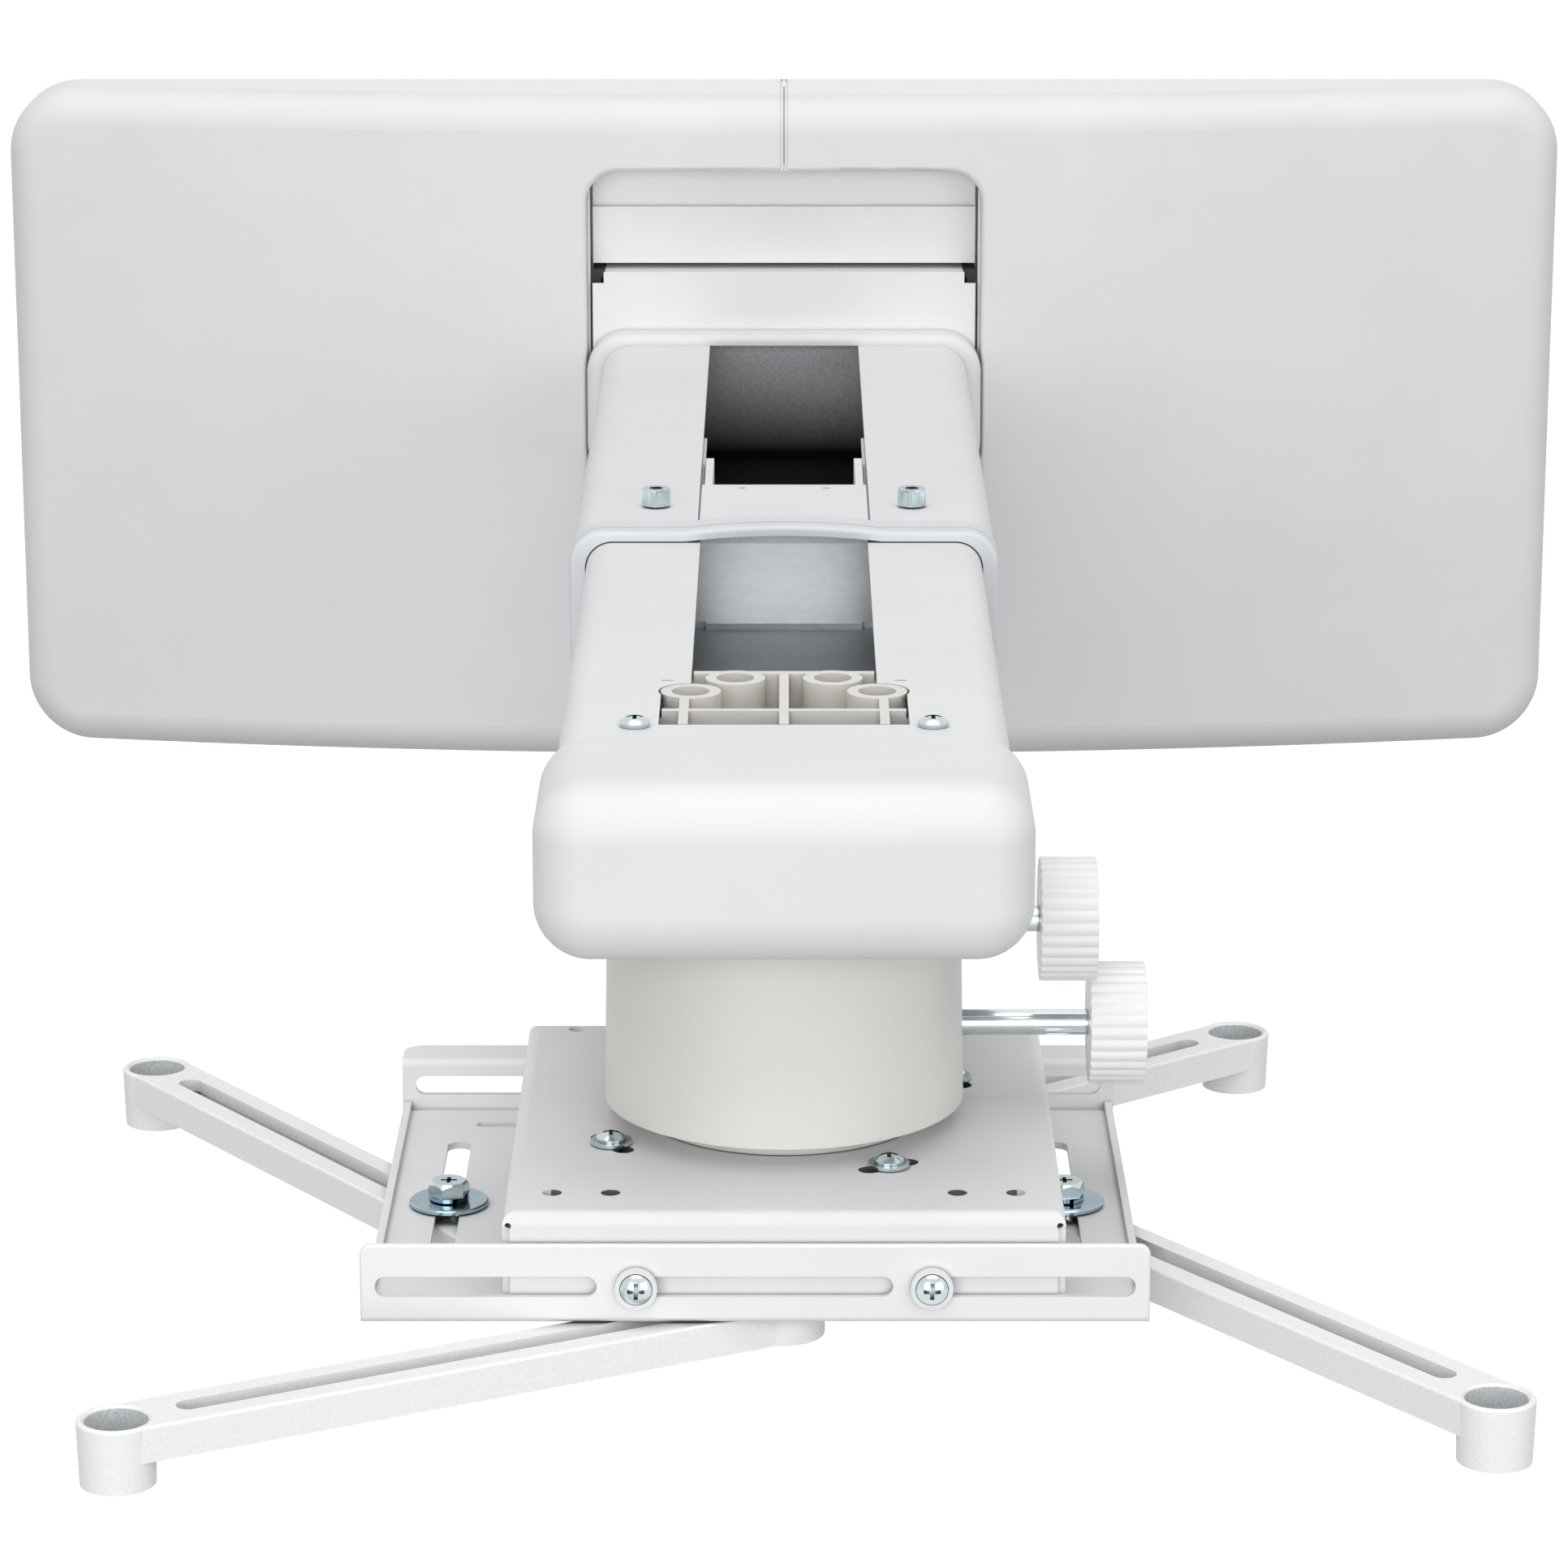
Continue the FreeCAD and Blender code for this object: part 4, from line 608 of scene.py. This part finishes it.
def surface(name, points, slot, body, finish=None):
    """Closed mesh of a grid of points: rows run along a profile or path, columns run round a ring.
    Rows that shrink to one point are merged into it, and the faces are turned outwards."""
    rows, columns = points.shape[:2]
    index = np.arange(rows * columns).reshape(rows, columns)
    beside = np.roll(index, -1, axis=1)
    quads = np.stack([index[:-1], beside[:-1], beside[1:], index[1:]], axis=-1).reshape(-1, 4)
    mesh = bpy.data.meshes.new(name)
    mesh.from_pydata(points.reshape(-1, 3).tolist(), [], quads.tolist())
    work = bmesh.new()
    work.from_mesh(mesh)
    bmesh.ops.remove_doubles(work, verts=work.verts, dist=merge_distance)
    bmesh.ops.dissolve_degenerate(work, edges=work.edges, dist=merge_distance)
    bmesh.ops.recalc_face_normals(work, faces=work.faces)
    work.to_mesh(mesh)
    work.free()
    mesh.polygons.foreach_set("use_smooth", np.ones(len(mesh.polygons), dtype=bool))
    mesh.set_sharp_from_angle(angle=math.radians(crisp_degrees))
    mesh.materials.append(finish or finishes[slot])
    piece = bpy.data.objects.new(name, mesh)
    bpy.context.scene.collection.objects.link(piece)
    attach(piece, body)
    return piece


def turned(profile, columns):
    """Profile of (height, radius) carried round an axis: each point (h, r) becomes a ring of points
    (h, r cos t, r sin t) as t goes once round."""
    t = np.linspace(0.0, 2 * np.pi, columns, endpoint=False)
    height = np.repeat(profile[:, :1], columns, axis=1)
    return np.stack([height, profile[:, 1:] * np.cos(t), profile[:, 1:] * np.sin(t)], axis=-1), t


def make_knob(node, body):
    """Fluted knob along X: a disc profile with round rims and a dished outer face, turned once round.
    The side's radius is lessened by a depth times 1 - |sin(n t / 2)|: n round lobes, sharp grooves
    between."""
    low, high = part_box(node)
    width = high[0] - low[0]
    radius = (high[2] - low[2]) / 2
    arc = np.linspace(0.0, np.pi / 2, knob_rim_points)
    rim_depth = knob_rim * (1 - np.cos(arc))
    rim_radius = radius - knob_rim + knob_rim * np.sin(arc)
    inner_rim = np.stack([rim_depth, rim_radius], axis=-1)
    outer_rim = np.stack([width - rim_depth[::-1], rim_radius[::-1]], axis=-1)
    dish_edge = radius - knob_dish_margin
    dish = width - knob_dish_depth
    inner_face = [(0, 0), (0, radius / 2)]
    outer_face = [(width, dish_edge), (dish, dish_edge - knob_dish_depth), (dish, 0)]
    profile = np.vstack([inner_face, inner_rim, outer_rim, outer_face])
    points, t = turned(profile, columns_per_flute * knob_flutes)
    flute = knob_flute_depth * (1 - np.abs(np.sin(knob_flutes * t / 2)))
    at_side = np.clip((profile[:, 1] - radius + knob_rim) / knob_rim, 0.0, 1.0)
    lessened = 1 - at_side[:, None] * flute / radius
    points[..., 1:] *= lessened[..., None]
    points += np.array([low[0], (low[1] + high[1]) / 2, (low[2] + high[2]) / 2])
    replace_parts(surface(node + "_fluted", points, "knob_plastic", body), node)


def make_knurls():
    """Fine upright ribs round the two socket heads: a low band whose radius grows by a triangle wave."""
    low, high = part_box("clamp_screws")
    radius = (high[1] - low[1]) / 2
    top = high[2] - knurl_margin
    bottom = high[2] - socket_head_height + knurl_margin
    inside = radius - knurl_height
    profile = np.array([(bottom, inside), (bottom, radius), (top, radius), (top, inside), (bottom, inside)])
    points, t = turned(profile, columns_per_rib * knurl_ribs)
    wave = np.abs((knurl_ribs * t / np.pi) % 2 - 1)
    outside = (profile[:, 1] > inside + knurl_height / 2)[:, None]
    points[..., 1:] *= (1 + outside * wave * knurl_height / radius)[..., None]
    upright = points[..., [1, 2, 0]]
    for name, x in (("knurl_left", low[0] + radius), ("knurl_right", high[0] - radius)):
        place = np.array([x, (low[1] + high[1]) / 2, 0.0])
        surface(name, upright + place, "zinc", "base")


def make_washers(corner):
    """Wide washer, a flat ring with soft edges, and a split spring washer on it: a square section
    carried round the bolt from one side of the split to the other while it climbs by a small rise."""
    node = "washers_" + corner
    body = "clamp_" + corner
    low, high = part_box(node)
    middle = np.array([(low[0] + high[0]) / 2, (low[1] + high[1]) / 2, low[2]])
    radius = (high[0] - low[0]) / 2
    r = wide_washer_rounding
    t = wide_washer_thickness
    profile = np.array([(0, bolt_radius), (0, radius - r), (r, radius), (t - r, radius), (t, radius - r),
                        (t, bolt_radius), (0, bolt_radius)])
    wide = turned(profile, wide_washer_columns)[0][..., [1, 2, 0]] + middle
    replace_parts(surface("wide_" + node, wide, "zinc", body, washer_finish), node)
    gap = math.radians(split_washer_gap_degrees) / 2
    turn = np.linspace(gap, 2 * np.pi - gap, split_washer_steps)
    climb = split_washer_rise * turn / (2 * np.pi)
    height = split_washer_thickness - split_washer_rise
    section = np.array([(bolt_radius, 0), (split_washer_radius, 0),
                        (split_washer_radius, height), (bolt_radius, height)])
    angle = (turn + math.radians(split_washer_turn_degrees))[:, None]
    ring = np.stack([section[:, 0] * np.cos(angle), section[:, 0] * np.sin(angle),
                     section[:, 1] + climb[:, None] + t], axis=-1)
    ends = ring[[0, -1]].mean(axis=1, keepdims=True).repeat(len(section), axis=1)
    ring = np.concatenate([ends[:1], ring, ends[1:]]) + middle
    surface("split_" + node, ring, "zinc", body, washer_finish)


def bar(name, low, high, axis, finish):
    """Straight bar with slightly rounded edges that fills a box: a section |a|^n + |b|^n = 1, stretched
    to the box, is carried along one axis, and its two ends are closed."""
    t = np.linspace(0.0, 2 * np.pi, bar_columns, endpoint=False)
    power = 2.0 / bar_squareness
    first, second = [i for i in range(3) if i != axis]
    middle = (np.array(low) + np.array(high)) / 2
    half = (np.array(high) - np.array(low)) / 2
    size = np.array([0.0, 1.0, 1.0, 0.0])[:, None]
    across = np.sign(np.cos(t)) * np.abs(np.cos(t)) ** power
    upward = np.sign(np.sin(t)) * np.abs(np.sin(t)) ** power
    points = np.empty((4, bar_columns, 3))
    points[..., axis] = np.array([low[axis], low[axis], high[axis], high[axis]])[:, None]
    points[..., first] = middle[first] + size * half[first] * across
    points[..., second] = middle[second] + size * half[second] * upward
    surface(name, points, "cover_plastic", "base", finish)


def make_window_trim():
    """Thin strip behind the hook's apron, and a narrow lip up each side of the cover's window."""
    low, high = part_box("hook_bracket")
    back = low[1] + sheet_thickness
    bar("window_strip", (low[0], back, high[2] - strip_overlap),
        (high[0], back + strip_thickness, high[2] + strip_height), 0, lit_hook_finish)
    collar_low, collar_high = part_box("base_collar")
    bottom = collar_low[2]
    top = high[2] + lip_rise
    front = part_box("arm_base")[0][1] + lip_setback
    edge = collar_high[0] + lip_seat
    for side, start, end in (("left", -edge, -edge + lip_width), ("right", edge - lip_width, edge)):
        bar("window_lip_" + side, (start, front, bottom), (end, front + lip_thickness, top), 2,
            finishes["cover_plastic"])


def make_pieces():
    """All pieces that are finer than their solids, and the thin trim."""
    make_window_trim()
    make_knob("roll_knob", "roll_adjuster")
    make_knob("pitch_knob", "pitch_adjuster")
    make_knurls()
    for corner in corners:
        make_washers(corner)


# Stage

def make_camera():
    """Camera at the photograph's place: straight in front of the arm, looking down."""
    camera = bpy.data.cameras.new("photo_camera")
    camera.sensor_width = sensor_width
    camera.lens = sensor_width * photo_focal_pixels / photo_side
    camera.clip_start = camera_near
    camera.clip_end = camera_far
    holder = bpy.data.objects.new("photo_camera", camera)
    holder.location = (0, -camera_distance, camera_height)
    holder.rotation_euler = (math.radians(90 - camera_pitch_degrees), 0, 0)
    bpy.context.scene.collection.objects.link(holder)
    bpy.context.scene.camera = holder


def seen_directly(tree):
    """1 for rays that show the background itself: camera, mirror and glass rays."""
    rays = tree.nodes.new("ShaderNodeLightPath").outputs
    mirrored = reckoned(tree, rays["Is Camera Ray"], "MAXIMUM", rays["Is Glossy Ray"])
    return reckoned(tree, mirrored, "MAXIMUM", rays["Is Transmission Ray"])


def make_world():
    """White where it is seen, plain even light where it only lights."""
    world = bpy.data.worlds.new("studio")
    bpy.context.scene.world = world
    world.use_nodes = True
    tree = world.node_tree
    background = tree.nodes["Background"]
    background.inputs["Color"].default_value = (*full_white, 1)
    tree.links.new(span(tree, seen_directly(tree), world_level, 1.0), background.inputs["Strength"])


def make_floor():
    """Pale floor below the mount, white where it is seen, that keeps a faint shadow."""
    low = cad_box[0][2] - floor_drop
    half = floor_size / 2
    mesh = bpy.data.meshes.new("floor")
    outline = [(-half, -half, low), (half, -half, low), (half, half, low), (-half, half, low)]
    mesh.from_pydata(outline, [], [(0, 1, 2, 3)])
    floor = bpy.data.objects.new("floor", mesh)
    bpy.context.scene.collection.objects.link(floor)
    material = bpy.data.materials.new("pale_floor")
    material.use_nodes = True
    tree = material.node_tree
    tree.nodes.remove(tree.nodes["Principled BSDF"])
    matt = tree.nodes.new("ShaderNodeBsdfDiffuse")
    matt.inputs["Color"].default_value = (floor_shade, floor_shade, floor_shade, 1)
    glow = tree.nodes.new("ShaderNodeEmission")
    tree.links.new(span(tree, seen_directly(tree), 0.0, floor_glow), glow.inputs["Strength"])
    both = tree.nodes.new("ShaderNodeAddShader")
    tree.links.new(matt.outputs["BSDF"], both.inputs[0])
    tree.links.new(glow.outputs["Emission"], both.inputs[1])
    tree.links.new(both.outputs["Shader"], tree.nodes["Material Output"].inputs["Surface"])
    mesh.materials.append(material)


def make_lamp(name, place, side, power):
    """Square soft lamp at a place, turned to the arm."""
    light = bpy.data.lights.new(name, "AREA")
    light.size = side
    light.energy = power
    holder = bpy.data.objects.new(name, light)
    holder.location = place
    direction = np.subtract(lamp_aim, place)
    flat = math.hypot(direction[0], direction[1])
    holder.rotation_euler = (math.pi / 2 + math.atan2(direction[2], flat), 0,
                             math.atan2(direction[1], direction[0]) - math.pi / 2)
    bpy.context.scene.collection.objects.link(holder)


dress_nodes()
make_pieces()
make_camera()
make_world()
make_floor()
for lamp in lamps:
    make_lamp(*lamp)
bpy.context.scene.view_settings.view_transform = "Standard"
